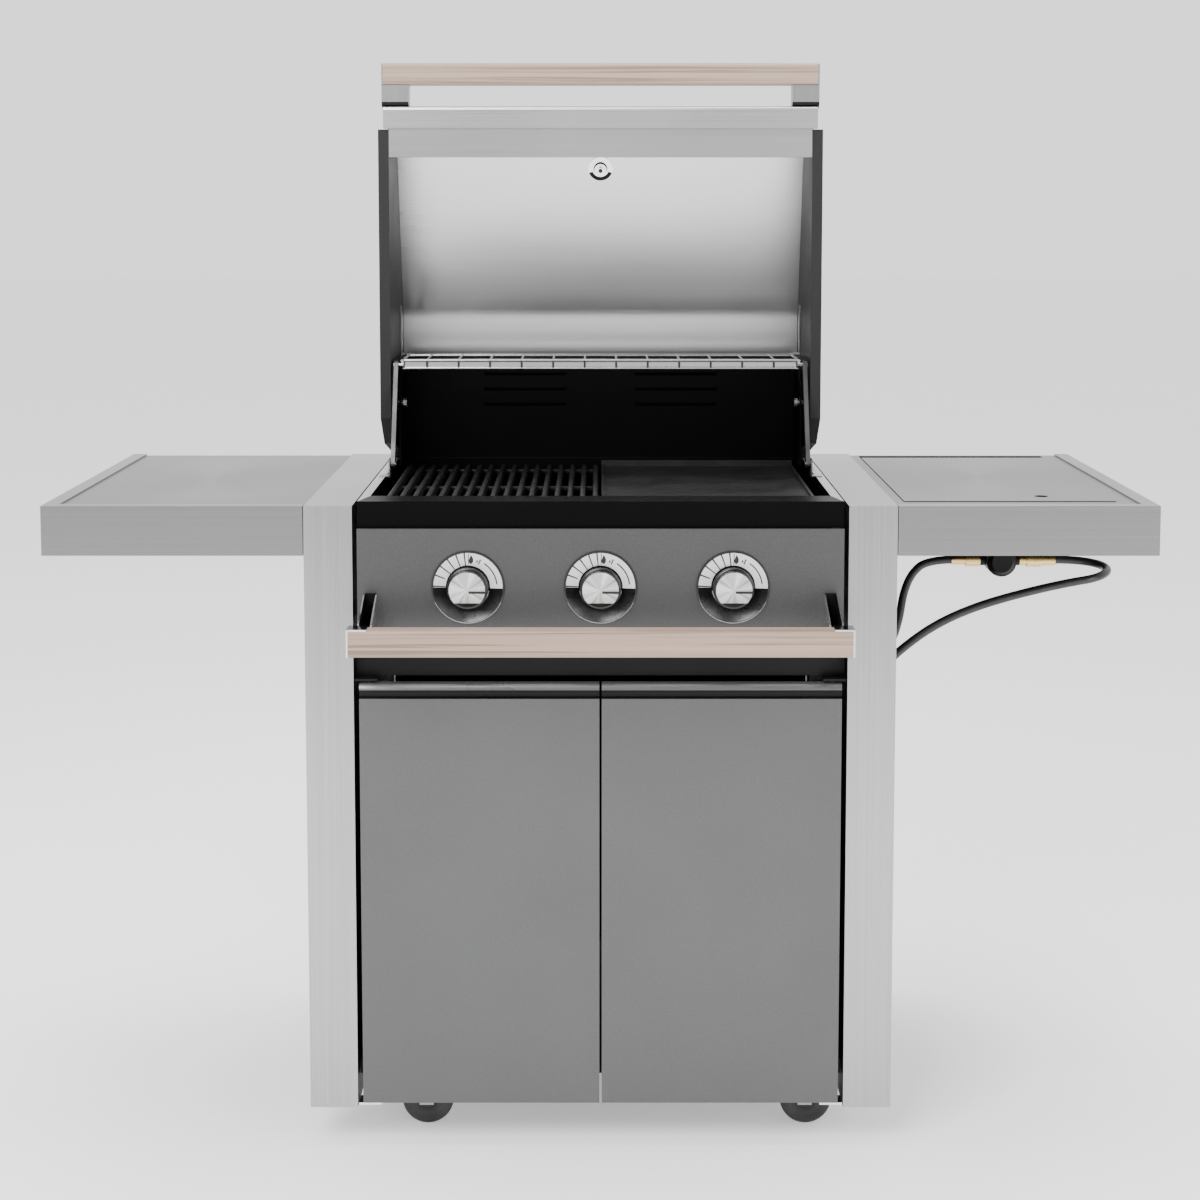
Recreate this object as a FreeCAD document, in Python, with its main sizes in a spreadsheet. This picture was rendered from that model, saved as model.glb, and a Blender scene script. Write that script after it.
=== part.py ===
import FreeCAD
import Part
import Sketcher
import math
import os
import re

# Gas barbecue grill on casters: a parametric document, written out as one STEP file a piece.
# Millimetres. +X is to the user's right, the user stands at -Y, and +Z is up. The origin is on
# the floor, under the middle of the object. At rest the hood is fully open.

V = FreeCAD.Vector
doc = FreeCAD.newDocument("gas_grill")
sheet = doc.addObject("Spreadsheet::Sheet", "Sizes")
pieces = []

SIZES = {
    # the whole trolley
    "overall_half": 725, "work_top": 860, "leg_bottom": 54, "front": -224, "back": 336,
    "frame_out": 385, "frame_in": 322, "post_deep": 62, "rail_tall": 65, "tube_wall": 2,
    "sheet_metal": 1.5, "bay_half": 316, "base_low": 90, "base_tall": 20, "panel_inset": 30,
    # control panel
    "panel_top": 830, "panel_low": 664, "knob_level": 754, "knob_pitch": 172,
    "bezel_radius": 47.5, "bezel_deep": 3, "knob_radius": 27, "grip_radius": 24,
    "knob_front": -250, "knob_skirt": 6, "spindle_back": -198, "spindle_radius": 4,
    "spindle_hole": 6,
    # firebox and cooking surfaces
    "box_half": 304, "rim_half": 316, "rim_top": 865, "box_front": -164, "box_back": 246,
    "box_low": 700, "band_low": 831, "band_front": -216, "grate_top": 857, "grate_tall": 14,
    "surface_half": 288, "bar_pitch": 17.4, "bar_wide": 9, "surface_gap": 3,
    "surface_front": -158, "surface_back": 238,
    # rear wall, hood hinge and rack linkage
    "wall_front": 248, "wall_top": 1018, "wing_front": 150, "vent_across": 113.5,
    "vent_half": 61.5, "vent_level": 944, "vent_tall": 5, "vent_pitch": 23,
    "hinge_back": 170, "hinge_level": 956, "hinge_hole": 4.05, "arm_foot_back": 34,
    "arm_foot_level": 882,
    "arm_run": 64, "arm_rise": 136, "arm_low_x": 290, "arm_thick": 6, "arm_half": 7,
    "rack_front": 111, "rack_back": 209, "rack_level": 1023, "rack_drop": 11,
    "strip_thick": 1.2, "wire_radius": 2.5,
    "cross_radius": 1.6, "pivot_radius": 3,
    # hood, opened: what faces the user here faces down when it is shut
    "hood_half": 307, "cap_out": 315, "cap_step": 304, "cap_in": 300, "skin": 1.2,
    "hood_face": 76, "hood_edge": 1355, "lip_top": 1388, "band_foot": 1314,
    "grip_half": 307, "grip_low": 1415, "grip_top": 1446, "grip_deep": 33,
    "grip_post_in": 271, "grip_post_wide": 38, "gauge_back": 225, "gauge_level": 1300.2,
    # front bar
    "bar_front": -336, "bar_back": -305, "bar_low": 685, "bar_top": 718, "bar_half": 316,
    "bar_plate": 2, "bar_tab": 23,
    "bracket_middle": 298, "bracket_wide": 18, "bracket_top": 746,
    # doors
    "door_half": 315, "door_gap": 1.5, "door_low": 60, "door_flat_top": 606, "door_top": 628,
    "door_thick": 20, "pin_across": 303, "pin_deep": 10, "pin_radius": 3, "pin_play": 0.05,
    # shelves and side burner
    "shelf_gap": 1, "shelf_wall": 4, "rim_wide": 20, "plate_drop": 2.5, "lid_in": 401, "lid_out": 681,
    "lid_front": -166, "lid_back": 308, "lid_thick": 12, "lid_pin_radius": 3,
    "well_deep": 52, "hob_across": 541, "hob_back": 90,
    # casters
    "caster_across": 257, "caster_front": -144, "caster_back": 262, "wheel_radius": 35,
    "wheel_wide": 22, "trail": 22, "axle_radius": 4, "caster_stem": 6,
    # gas line
    "gas_back": 26, "gas_level": 747, "hose_radius": 5.75,
    # drip tray
    "tray_half": 180, "tray_low": 640, "tray_tall": 42, "tray_front": -150, "tray_back": 226,
}


def fill_sheet():
    """Write every driving dimension into the spreadsheet under its own name."""
    for row, (name, value) in enumerate(SIZES.items(), start=1):
        sheet.set(f"A{row}", name)
        sheet.set(f"B{row}", str(value))
        sheet.setAlias(f"B{row}", name)
    doc.recompute()


def linked(text):
    """The expression with each dimension's name pointed at the spreadsheet."""
    return re.sub(r"[a-z_]*[a-z]", lambda word: "Sizes." + word.group(0), str(text))


def value(text):
    """An expression's number, for shapes that Part's own functions make."""
    return float(sheet.evalExpression(linked(text)))


def bind(thing, links):
    """Tie an object's properties to sums of the driving dimensions."""
    for name, text in links.items():
        thing.setExpression(name, linked(text))
    return thing


def block(span_x, span_y, span_z):
    """A box between two expressions along each axis."""
    thing = doc.addObject("Part::Box", "Block")
    links = {}
    for side, letter, span in zip(("Length", "Width", "Height"), "xyz", (span_x, span_y, span_z)):
        links[side] = f"({span[1]}) - ({span[0]})"
        links["Placement.Base." + letter] = span[0]
    return bind(thing, links)


TURNS = {"x": FreeCAD.Rotation(V(0, 1, 0), 90), "y": FreeCAD.Rotation(V(1, 0, 0), -90),
         "z": FreeCAD.Rotation()}


def rod(along, start, radius, length):
    """A cylinder from a starting point of three expressions, along +X, +Y or +Z."""
    thing = doc.addObject("Part::Cylinder", "Rod")
    thing.Placement = FreeCAD.Placement(V(), TURNS[along])
    links = {"Radius": radius, "Height": length}
    links.update({"Placement.Base." + letter: text for letter, text in zip("xyz", start)})
    return bind(thing, links)


def cone(along, start, radii, length):
    """A cone frustum, placed as a rod is."""
    thing = doc.addObject("Part::Cone", "Taper")
    thing.Placement = FreeCAD.Placement(V(), TURNS[along])
    links = {"Radius1": radii[0], "Radius2": radii[1], "Height": length}
    links.update({"Placement.Base." + letter: text for letter, text in zip("xyz", start)})
    return bind(thing, links)


def torus(along, centre, ring, wire):
    """A ring of round wire about an axis."""
    thing = doc.addObject("Part::Torus", "Ring")
    thing.Placement = FreeCAD.Placement(V(), TURNS[along])
    links = {"Radius1": ring, "Radius2": wire}
    links.update({"Placement.Base." + letter: text for letter, text in zip("xyz", centre)})
    return bind(thing, links)


def joined(things):
    """Several solids welded into one."""
    if len(things) == 1:
        return things[0]
    thing = doc.addObject("Part::MultiFuse", "Weld")
    thing.Shapes = things
    thing.Refine = True
    return thing


def cut(base, tools):
    """A solid with others taken out of it."""
    thing = doc.addObject("Part::Cut", "Cutout")
    thing.Base = base
    thing.Tool = joined(tools)
    thing.Refine = True
    return thing


def group(things):
    """Separate solids kept side by side as one sub-part."""
    thing = doc.addObject("Part::Compound", "Set")
    thing.Links = things
    return thing


def mirrored(thing):
    """The same piece on the other side of the trolley."""
    copy = doc.addObject("Part::Mirroring", "Mirrored")
    copy.Source = thing
    copy.Normal = V(1, 0, 0)
    return copy


def pair(thing):
    """A piece and its mirror image."""
    return group([thing, mirrored(thing)])


def side_sketch(points, closed=True):
    """A sketch in the side view, Y across and Z up, with every corner bound to the sheet."""
    sketch = doc.addObject("Sketcher::SketchObject", "SideView")
    corners = [V(value(across), value(up), 0) for across, up in points]
    ends = corners[1:] + corners[:1] if closed else corners[1:]
    for start, end in zip(corners, ends):
        sketch.addGeometry(Part.LineSegment(start, end))
    count = len(ends)
    for index in range(count if closed else count - 1):
        sketch.addConstraint(Sketcher.Constraint("Coincident", index, 2, (index + 1) % count, 1))
    for index, (across, up) in enumerate(points):
        line, end = (index, 1) if index < count else (count - 1, 2)
        for kind, text in (("DistanceX", across), ("DistanceY", up)):
            rule = Sketcher.Constraint(kind, -1, 1, line, end, value(text))
            number = sketch.addConstraint(rule)
            sketch.setExpression(f"Constraints[{number}]", linked(text))
    sketch.Placement = FreeCAD.Placement(V(), FreeCAD.Rotation(V(1, 1, 1), 120))
    return sketch


def side_prism(points, low, high):
    """A closed side-view outline carried across from one X to another."""
    thing = doc.addObject("Part::Extrusion", "Prism")
    thing.Base = side_sketch(points)
    thing.DirMode = "Custom"
    thing.Dir = V(1, 0, 0)
    thing.Solid = True
    return bind(thing, {"LengthFwd": high, "LengthRev": f"-({low})"})


def rounded_wire(points, radii):
    """Straight runs joined by tangent arcs, one radius for each inner corner."""
    edges = []
    start = points[0]
    for before, corner, after, radius in zip(points, points[1:], points[2:], radii):
        back = (before - corner).normalize()
        ahead = (after - corner).normalize()
        half = back.getAngle(ahead) / 2
        reach = radius / math.tan(half)
        middle = (back + ahead).normalize() * (radius / math.sin(half) - radius)
        first, last = corner + back * reach, corner + ahead * reach
        edges.append(Part.LineSegment(start, first).toShape())
        edges.append(Part.Arc(first, corner + middle, last).toShape())
        start = last
    edges.append(Part.LineSegment(start, points[-1]).toShape())
    return Part.Wire(edges)


def made(shape):
    """A shape from Part's own functions, as an object of the document."""
    thing = doc.addObject("Part::Feature", "Formed")
    thing.Shape = shape
    return thing


def bent_sheet(points, radii, thick, half_width):
    """Sheet metal bent along a side-view line, with its thickness on the line's left."""
    line = rounded_wire([V(0, value(across), value(up)) for across, up in points], radii)
    flat = line.makeOffset2D(value(thick), fill=True, openResult=True)
    flat.translate(V(-value(half_width), 0, 0))
    face = flat.Faces[0]
    return made(face.extrude(V(2 * value(half_width), 0, 0)))


def design_body(label):
    """A PartDesign body and its origin planes by role."""
    body = doc.addObject("PartDesign::Body", label)
    planes = {item.Role: item for item in body.Origin.OriginFeatures}
    return body, planes


def body_sketch(body, plane, lines):
    """A sketch on one of the body's own planes; each loop is a list of corners or a circle."""
    sketch = body.newObject("Sketcher::SketchObject", "Outline")
    sketch.AttachmentSupport = (plane, [""])
    sketch.MapMode = "FlatFace"
    for loop in lines:
        if len(loop) == 3 and not isinstance(loop[0], tuple):
            sketch_circle(sketch, *loop)
        else:
            sketch_loop(sketch, loop)
    return sketch


def sketch_circle(sketch, across, up, radius):
    """A circle bound to the sheet."""
    centre = V(value(across), value(up), 0)
    index = sketch.addGeometry(Part.Circle(centre, V(0, 0, 1), value(radius)))
    rules = (("DistanceX", across), ("DistanceY", up))
    for kind, text in rules:
        number = sketch.addConstraint(Sketcher.Constraint(kind, -1, 1, index, 3, value(text)))
        sketch.setExpression(f"Constraints[{number}]", linked(text))
    number = sketch.addConstraint(Sketcher.Constraint("Radius", index, value(radius)))
    sketch.setExpression(f"Constraints[{number}]", linked(radius))


def sketch_loop(sketch, corners):
    """A closed loop of straight lines bound to the sheet."""
    first = sketch.GeometryCount
    spots = [V(value(across), value(up), 0) for across, up in corners]
    for start, end in zip(spots, spots[1:] + spots[:1]):
        sketch.addGeometry(Part.LineSegment(start, end))
    count = len(spots)
    for index in range(count):
        after = first + (index + 1) % count
        sketch.addConstraint(Sketcher.Constraint("Coincident", first + index, 2, after, 1))
    for index, (across, up) in enumerate(corners):
        for kind, text in (("DistanceX", across), ("DistanceY", up)):
            rule = Sketcher.Constraint(kind, -1, 1, first + index, 1, value(text))
            number = sketch.addConstraint(rule)
            sketch.setExpression(f"Constraints[{number}]", linked(text))


def piece(label, thing):
    """Name a finished sub-part; its name is also its file's name."""
    thing.Label = label
    pieces.append(thing)
    return thing


# ---- trolley -------------------------------------------------------------------------------

def side_frame():
    """An upside-down U of square tube: front post, rear post and the rail that joins them."""
    deep = ("front", "back")
    outer = block(("frame_in", "frame_out"), deep, ("leg_bottom", "work_top"))
    window = block(("frame_in - 1", "frame_out + 1"), ("front + post_deep", "back - post_deep"),
                   ("leg_bottom - 1", "work_top - rail_tall"))
    bore = block(("frame_in + tube_wall", "frame_out - tube_wall"),
                 ("front + tube_wall", "back - tube_wall"),
                 ("leg_bottom - 1", "work_top - tube_wall"))
    core = block(("frame_in", "frame_out"),
                 ("front + post_deep - tube_wall", "back - post_deep + tube_wall"),
                 ("leg_bottom - 2", "work_top - rail_tall + tube_wall"))
    return cut(outer, [window, cut(bore, [core])])


def side_panel():
    """A flat black sheet that fills the window of a side frame, turned in along its foot."""
    span = ("front + post_deep", "back - post_deep")
    sheet = block(("frame_out - panel_inset - sheet_metal", "frame_out - panel_inset"), span,
                  ("base_low", "work_top - rail_tall"))
    foot = block(("frame_in", "frame_out - panel_inset - 1"), span,
                 ("base_low", "base_low + sheet_metal"))
    return joined([sheet, foot])


def folded_tray(span_x, span_y, span_z, wall, open_up=True):
    """A sheet tray with four upright sides, open above or below."""
    outer = block(span_x, span_y, span_z)
    inset = [(f"({span[0]}) + {wall}", f"({span[1]}) - {wall}") for span in (span_x, span_y)]
    low, high = span_z
    if open_up:
        depth = (f"({low}) + {wall}", f"({high}) + 1")
    else:
        depth = (f"({low}) - 1", f"({high}) - {wall}")
    return cut(outer, [block(inset[0], inset[1], depth)])


def trolley():
    """The two side frames and the sheets between them."""
    right = side_frame()
    piece("side_frames", pair(right))
    plain = side_panel()
    holes = [rod("x", ("frame_out - panel_inset - 5", across, up), "hose_radius + 4", "10")
             for across, up in GROMMETS]
    piece("side_panels", group([mirrored(plain), cut(side_panel(), holes)]))
    tray = folded_tray(("-frame_in + 1", "frame_in - 1"),
                       ("front + 26", "back - 6"),
                       ("base_low", "base_low + base_tall"), "sheet_metal")
    plates = [caster_plate(f"{sign} * caster_across", spot)
              for sign in (-1, 1) for spot in ("caster_front", "caster_back")]
    piece("base_panel", joined([tray] + plates))
    piece("back_panel", back_panel())
    piece("door_header", folded_tray(("-frame_in + 1", "frame_in - 1"),
                                     ("front + 24", "front + 60"),
                                     ("door_top + 4", "panel_low - 4"), "sheet_metal", False))
    piece("hose_grommets", group([grommet(across, up) for across, up in GROMMETS]))


GROMMETS = (("-88", "614"), ("0", "600"))


def grommet(across, up):
    """A rubber ring that lines a hole in the side panel round a hose."""
    edge = "frame_out - panel_inset"
    flange = rod("x", (edge, across, up), "hose_radius + 8", "3")
    collar = rod("x", (edge + " - sheet_metal - 2", across, up), "hose_radius + 4", "5")
    bore = rod("x", (edge + " - 8", across, up), "hose_radius + 0.8", "20")
    return cut(joined([flange, collar]), [bore])


def back_panel():
    """The cabinet's rear sheet, with rows of vents near its top."""
    sheet_span = ("-frame_in + 1", "frame_in - 1")
    plate = block(sheet_span, ("back - 12", "back - 12 + sheet_metal"),
                  ("base_low + base_tall + 1", "box_low - 66"))
    slots = [block((f"{column} * 110 - 40", f"{column} * 110 + 40"), ("back - 14", "back - 8"),
                   (f"560 + {row} * 22", f"568 + {row} * 22"))
             for column in (-2, -1, 0, 1, 2) for row in (0, 1)]
    return cut(plate, slots)


def fascia():
    """The control panel: a face with three holes, and flanges folded back above and below."""
    body, planes = design_body("control_panel_face")
    corners = [("-bay_half", "panel_low"), ("bay_half", "panel_low"),
               ("bay_half", "panel_top"), ("-bay_half", "panel_top")]
    holes = [(f"{place} * knob_pitch", "knob_level", "spindle_hole") for place in (-1, 0, 1)]
    sketch = body_sketch(body, planes["XZ_Plane"], [corners] + holes)
    bind(sketch, {"AttachmentOffset.Base.z": "-front"})
    face = body.newObject("PartDesign::Pad", "Face")
    face.Profile = sketch
    face.Reversed = True
    bind(face, {"Length": "sheet_metal"})
    doc.recompute()
    folds = [block(("-bay_half", "bay_half"), ("front + sheet_metal", "band_front"),
                   ("panel_top - sheet_metal", "panel_top")),
             block(("-bay_half", "bay_half"), ("front + sheet_metal", "front + 40"),
                   ("panel_low", "panel_low + sheet_metal"))]
    piece("control_panel", joined([body] + folds))


def bezels():
    """A ring round each knob that carries its scale."""
    rings = []
    for place in (-1, 0, 1):
        spot = (f"{place} * knob_pitch", "front - bezel_deep", "knob_level")
        ring = rod("y", spot, "bezel_radius", "bezel_deep")
        hole = rod("y", (spot[0], "front - 10", "knob_level"), "spindle_hole", "20")
        rings.append(cut(ring, [hole]))
    piece("knob_bezels", group(rings))


def knobs():
    """Each valve's spindle, and the knob that slides on it and turns with it."""
    for name, place in (("left", -1), ("middle", 0), ("right", 1)):
        across = f"{place} * knob_pitch"
        spindle = rod("y", (across, "knob_front + 10", "knob_level"), "spindle_radius",
                      "spindle_back - knob_front - 10")
        piece(f"valve_spindle_{name}", spindle)
        skirt = rod("y", (across, "front - bezel_deep - knob_skirt - 4", "knob_level"),
                    "knob_radius", "knob_skirt")
        grip = cone("y", (across, "knob_front", "knob_level"),
                    ("grip_radius - 1", "grip_radius"),
                    "front - bezel_deep - knob_skirt - 3 - knob_front")
        bore = rod("y", (across, "knob_front + 10 - 4", "knob_level"),
                   "spindle_radius + 0.05", "60")
        pointer = block((f"{across}", f"{across} + grip_radius"),
                        ("knob_front - 1", "knob_front + 0.5"),
                        ("knob_level - 1.2", "knob_level + 1.2"))
        piece(f"knob_{name}", cut(joined([skirt, grip]), [bore, pointer]))


def front_bar():
    """The wooden bar across the front, its two plated brackets and their screws."""
    body, planes = design_body("front_bar")
    corners = [("bar_front", "bar_low"), ("bar_back", "bar_low"),
               ("bar_back", "bar_top"), ("bar_front", "bar_top")]
    sketch = body_sketch(body, planes["YZ_Plane"], [corners])
    bar = body.newObject("PartDesign::Pad", "Bar")
    bar.Profile = sketch
    bar.Midplane = True
    bind(bar, {"Length": "2 * bar_half"})
    doc.recompute()
    long_edges = [f"Edge{number}" for number, edge in enumerate(bar.Shape.Edges, start=1)
                  if edge.Length > value("2 * bar_half") - 1]
    soft = body.newObject("PartDesign::Fillet", "Soft")
    soft.Base = (bar, long_edges)
    soft.Radius = 2.5
    doc.recompute()
    pieces.append(body)
    low, high = "bracket_middle - bracket_wide / 2", "bracket_middle + bracket_wide / 2"
    channel = block((low, high), ("bar_back", "front"), ("bar_low + 4", "bracket_top"))
    inside = block((f"{low} + 2", f"{high} - 2"), ("bar_back - 1", "front - 2"),
                   ("bar_low + 7", "bracket_top + 1"))
    slope = side_prism([("bar_back - 1", "bar_top + 2"), ("front - 12", "bracket_top + 1"),
                        ("bar_back - 1", "bracket_top + 1")], low + " - 1", high + " + 1")
    bracket = cut(channel, [inside, slope])
    screws = [rod("y", ("bracket_middle", "front - 4", f"bar_top + {rise}"), "3.2", "2")
              for rise in ("2", "16")]
    end = joined([block(("bar_half", "bar_half + bar_plate"), ("bar_front", "bar_back"),
                        ("bar_low", "bar_top + bar_plate")),
                  block(("bar_half - bar_tab", "bar_half + 1"), ("bar_front + 2", "bar_back"),
                        ("bar_top", "bar_top + bar_plate"))])
    piece("front_bar_brackets", pair(group([bracket, end] + screws)))


# ---- firebox, burners and cooking surfaces -------------------------------------------------

def firebox():
    """The enamelled box: rims, walls, a front apron, and a floor open above the drip tray."""
    rim = block(("-rim_half", "rim_half"), ("band_front", "box_back + 4"),
                ("rim_top - 2", "rim_top"))
    shell = block(("-box_half - 2", "box_half + 2"), ("box_front - 2", "box_back + 2"),
                  ("box_low", "rim_top - 1"))
    apron = block(("-rim_half", "rim_half"), ("band_front", "band_front + 2"),
                  ("band_low", "rim_top - 1"))
    hollow = block(("-box_half", "box_half"), ("box_front", "box_back"),
                   ("box_low + 2", "rim_top + 1"))
    drain = block(("-box_half + 80", "box_half - 80"), ("box_front + 70", "box_back - 70"),
                  ("box_low - 1", "box_low + 3"))
    ports = [rod("y", (f"{place} * knob_pitch", "box_front - 5", "knob_level"), "9", "8")
             for place in (-1, 0, 1)]
    ledges = [block(("-box_half", "box_half"), span, ("grate_top - grate_tall - 4",
                                                      "grate_top - grate_tall - 1"))
              for span in (("box_front", "surface_front + 8"), ("surface_back - 8", "box_back"))]
    piece("firebox", joined([cut(joined([rim, shell, apron]), [hollow, drain] + ports)] + ledges))


def burners():
    """Three tube burners fed by valves from one gas rail, each under a flame tamer."""
    tubes, tents, valves, sparks = [], [], [], []
    for place in (-1, 0, 1):
        across = f"{place} * knob_pitch"
        tubes.append(rod("y", (across, "box_front - 12", "knob_level"), "8", "378"))
        tents.append(side_tent(across))
        cock = rod("y", (across, "front + 18", "knob_level"), "12", "26")
        jet = rod("y", (across, "front + 44", "knob_level"), "5", "3.5")
        foot = rod("z", (across, "front + 31", "knob_level - 24"), "6", "24")
        valves.append(cut(joined([cock, jet, foot]),
                          [rod("y", (across, "front + 10", "knob_level"),
                               "spindle_radius + 0.05", "20")]))
        sparks.append(rod("y", (f"{across} + 18", "box_front", "knob_level + 6"), "3", "36"))
    piece("burner_tubes", group(tubes + sparks))
    piece("flame_tamers", group(tents))
    piece("gas_valves", group(valves))
    piece("gas_rail", rod("x", ("-bay_half + 30", "front + 31", "knob_level - 33"), "9",
                          "2 * bay_half - 60"))


def side_tent(across):
    """A folded roof of sheet steel along a burner."""
    roof = doc.addObject("Part::Wedge", "Roof")
    for name, text in (("Xmin", "-40"), ("Xmax", "40"), ("X2min", "-3"), ("X2max", "3"),
                       ("Ymin", "0"), ("Ymax", "24"), ("Zmin", "0"), ("Zmax", "360"),
                       ("Z2min", "0"), ("Z2max", "360")):
        bind(roof, {name: text})
    roof.Placement = FreeCAD.Placement(V(), FreeCAD.Rotation(V(1, 0, 0), 90))
    bind(roof, {"Placement.Base.x": across, "Placement.Base.y": "box_front + 20 + 360",
                "Placement.Base.z": "knob_level + 30"})
    under = doc.addObject("Part::Wedge", "Under")
    for name, text in (("Xmin", "-38"), ("Xmax", "38"), ("X2min", "-1"), ("X2max", "1"),
                       ("Ymin", "-2"), ("Ymax", "22"), ("Zmin", "-1"), ("Zmax", "361"),
                       ("Z2min", "-1"), ("Z2max", "361")):
        bind(under, {name: text})
    under.Placement = roof.Placement
    bind(under, {"Placement.Base.x": across, "Placement.Base.y": "box_front + 20 + 360",
                 "Placement.Base.z": "knob_level + 30"})
    return cut(roof, [under])


def cooking_surfaces():
    """The open grate on the left and the solid hotplate with its rear rim on the right."""
    ends = ("surface_front", "surface_back")
    low = "grate_top - grate_tall"
    rails = [block(("-surface_half", "-surface_gap / 2"), span, (low, "grate_top - 2"))
             for span in ((ends[0], ends[0] + " + 10"), (ends[1] + " - 10", ends[1]),
                          ("38", "46"))]
    bars = [block((f"-surface_gap / 2 - bar_wide / 2 - 1.5 - {step} * bar_pitch - bar_wide / 2",
                   f"-surface_gap / 2 - bar_wide / 2 - 1.5 - {step} * bar_pitch + bar_wide / 2"),
                  ends, (low + " + 3", "grate_top")) for step in range(17)]
    piece("grill_grate", joined(rails + bars))
    plate = block(("surface_gap / 2", "surface_half"), ends, (low, "grate_top - 3"))
    rims = [block(("surface_gap / 2", "surface_half"), (ends[1] + " - 6", ends[1]),
                  (low, "grate_top + 6")),
            block(("surface_gap / 2", "surface_gap / 2 + 4"), ends, (low, "grate_top")),
            block(("surface_half - 4", "surface_half"), ends, (low, "grate_top"))]
    piece("hotplate", joined([plate] + rims))


def rear_wall():
    """The black wall behind the fire, its vents, and the wings that carry the hood."""
    wall = block(("-box_half + 12", "box_half - 12"), ("wall_front", "wall_front + 2"),
                 ("rim_top", "wall_top"))
    shelf = block(("-box_half + 12", "box_half - 12"), ("wall_front - 10", "wall_front + 1"),
                  ("wall_top - 2", "wall_top"))
    slots = [block((f"{side} * vent_across - vent_half", f"{side} * vent_across + vent_half"),
                   ("wall_front - 1", "wall_front + 2.5"),
                   (f"vent_level + {row} * vent_pitch",
                    f"vent_level + vent_tall + {row} * vent_pitch"))
             for side in (-1, 1) for row in (0, 1, 2)]
    reach = "(vent_across + vent_half + 7)"
    head = "(vent_level + 61)"
    baffle = cut(block((f"-{reach}", reach), ("wall_front + 1", "wall_front + 14"),
                       ("vent_level - 14", head)),
                 [block((f"1 - {reach}", f"{reach} - 1"), ("wall_front + 2", "wall_front + 13"),
                        ("vent_level - 15", f"{head} - 1"))])
    wings = []
    for side in (-1, 1):
        span = sorted((f"{side} * (box_half - 12)", f"{side} * (box_half - 9)"), key=value)
        outline = [("wing_front", "rim_top"), ("wall_front + 2", "rim_top"),
                   ("wall_front + 2", "wall_top"), ("wall_front - 20", "wall_top"),
                   ("hinge_back - 16", "hinge_level + 22"), ("wing_front", "hinge_level")]
        wings.append(side_prism(outline, *span))
    hinges = [rod("x", ("-box_half", "hinge_back", "hinge_level"), "hinge_hole", "2 * box_half")]
    piece("rear_wall", cut(joined([wall, shelf, baffle] + wings), slots + hinges))
    bolt = rod("x", ("box_half - 12 - 4", "hinge_back", "hinge_level"), "4", "cap_step - box_half + 14")
    head = rod("x", ("box_half - 12 - 7", "hinge_back", "hinge_level"), "7", "5")
    piece("hinge_bolts", pair(joined([bolt, head])))


# ---- hood ----------------------------------------------------------------------------------

HOOD_LINE = [("hood_face", "hood_edge"), ("hood_face", "lip_top"), ("217", "1326"),
             ("293", "1080"), ("296", "1020"), ("288", "850"), ("264", "847")]
HOOD_BENDS = [5, 14, 60, 120, 12]
CAP_LINE = [("82", "1353"), ("82", "942"), ("134", "900"), ("254", "872"), ("262", "851"),
            ("284", "853"), ("292", "1020"), ("289.4", "1077"), ("214", "1322"),
            ("145", "1353")]
REST_TURN = 72.8


def hood():
    """The hood's skin, end caps, front stiffener, handle and thermometer."""
    piece("hood_skin", cut(bent_sheet(HOOD_LINE, HOOD_BENDS, "skin", "hood_half"),
                           [tilted_rod("gauge_back", "gauge_level", "5", "-10", "20")]))
    cap = hood_cap()
    piece("hood_end_caps", pair(cap))
    piece("hood_stiffener", stiffener())
    handle()
    dial = tilted_rod("gauge_back", "gauge_level", "26", "1.5", "9")
    stem = tilted_rod("gauge_back", "gauge_level", "4.5", "-14", "17")
    washer = tilted_rod("gauge_back", "gauge_level", "18", "-3.2", "1.8")
    nut = tilted_rod("gauge_back", "gauge_level", "9", "-10", "6.8")
    bore = tilted_rod("gauge_back", "gauge_level", "4.5", "-20", "30")
    fastening = cut(joined([washer, nut]), [bore])
    piece("thermometer", group([joined([dial, stem]), fastening]))


def tilted_rod(across, up, radius, start, length):
    """A cylinder square to the hood's long face, starting so far out from its skin."""
    thing = doc.addObject("Part::Cylinder", "SquareOn")
    thing.Placement = FreeCAD.Placement(V(), FreeCAD.Rotation(V(1, 0, 0), -REST_TURN))
    return bind(thing, {"Radius": radius, "Height": length,
                        "Placement.Base.y": f"{across} + ({start}) * 0.9553",
                        "Placement.Base.z": f"{up} + ({start}) * 0.2955"})


def hood_cap():
    """A cast end cap: an inner plate with a raised rim round its outer side."""
    whole = side_prism(CAP_LINE, "cap_in", "cap_out")
    smaller = doc.addObject("Part::Offset2D", "Inset")
    smaller.Source = side_sketch(CAP_LINE)
    smaller.Value = -4
    recess = doc.addObject("Part::Extrusion", "Recess")
    recess.Base = smaller
    recess.DirMode = "Custom"
    recess.Dir = V(1, 0, 0)
    recess.Solid = True
    bind(recess, {"LengthFwd": "cap_out + 1", "LengthRev": "-cap_step"})
    pivot = rod("x", ("cap_in - 1", "hinge_back", "hinge_level"), "hinge_hole", "30")
    boss = rod("x", ("cap_in", "hinge_back", "hinge_level"), "12", "10")
    hanger = rod("x", ("cap_in - 1", "hinge_back + arm_run", "hinge_level + arm_rise"),
                 "pivot_radius + 0.6", "30")
    return cut(joined([cut(whole, [recess]), boss]), [pivot, hanger])


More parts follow.
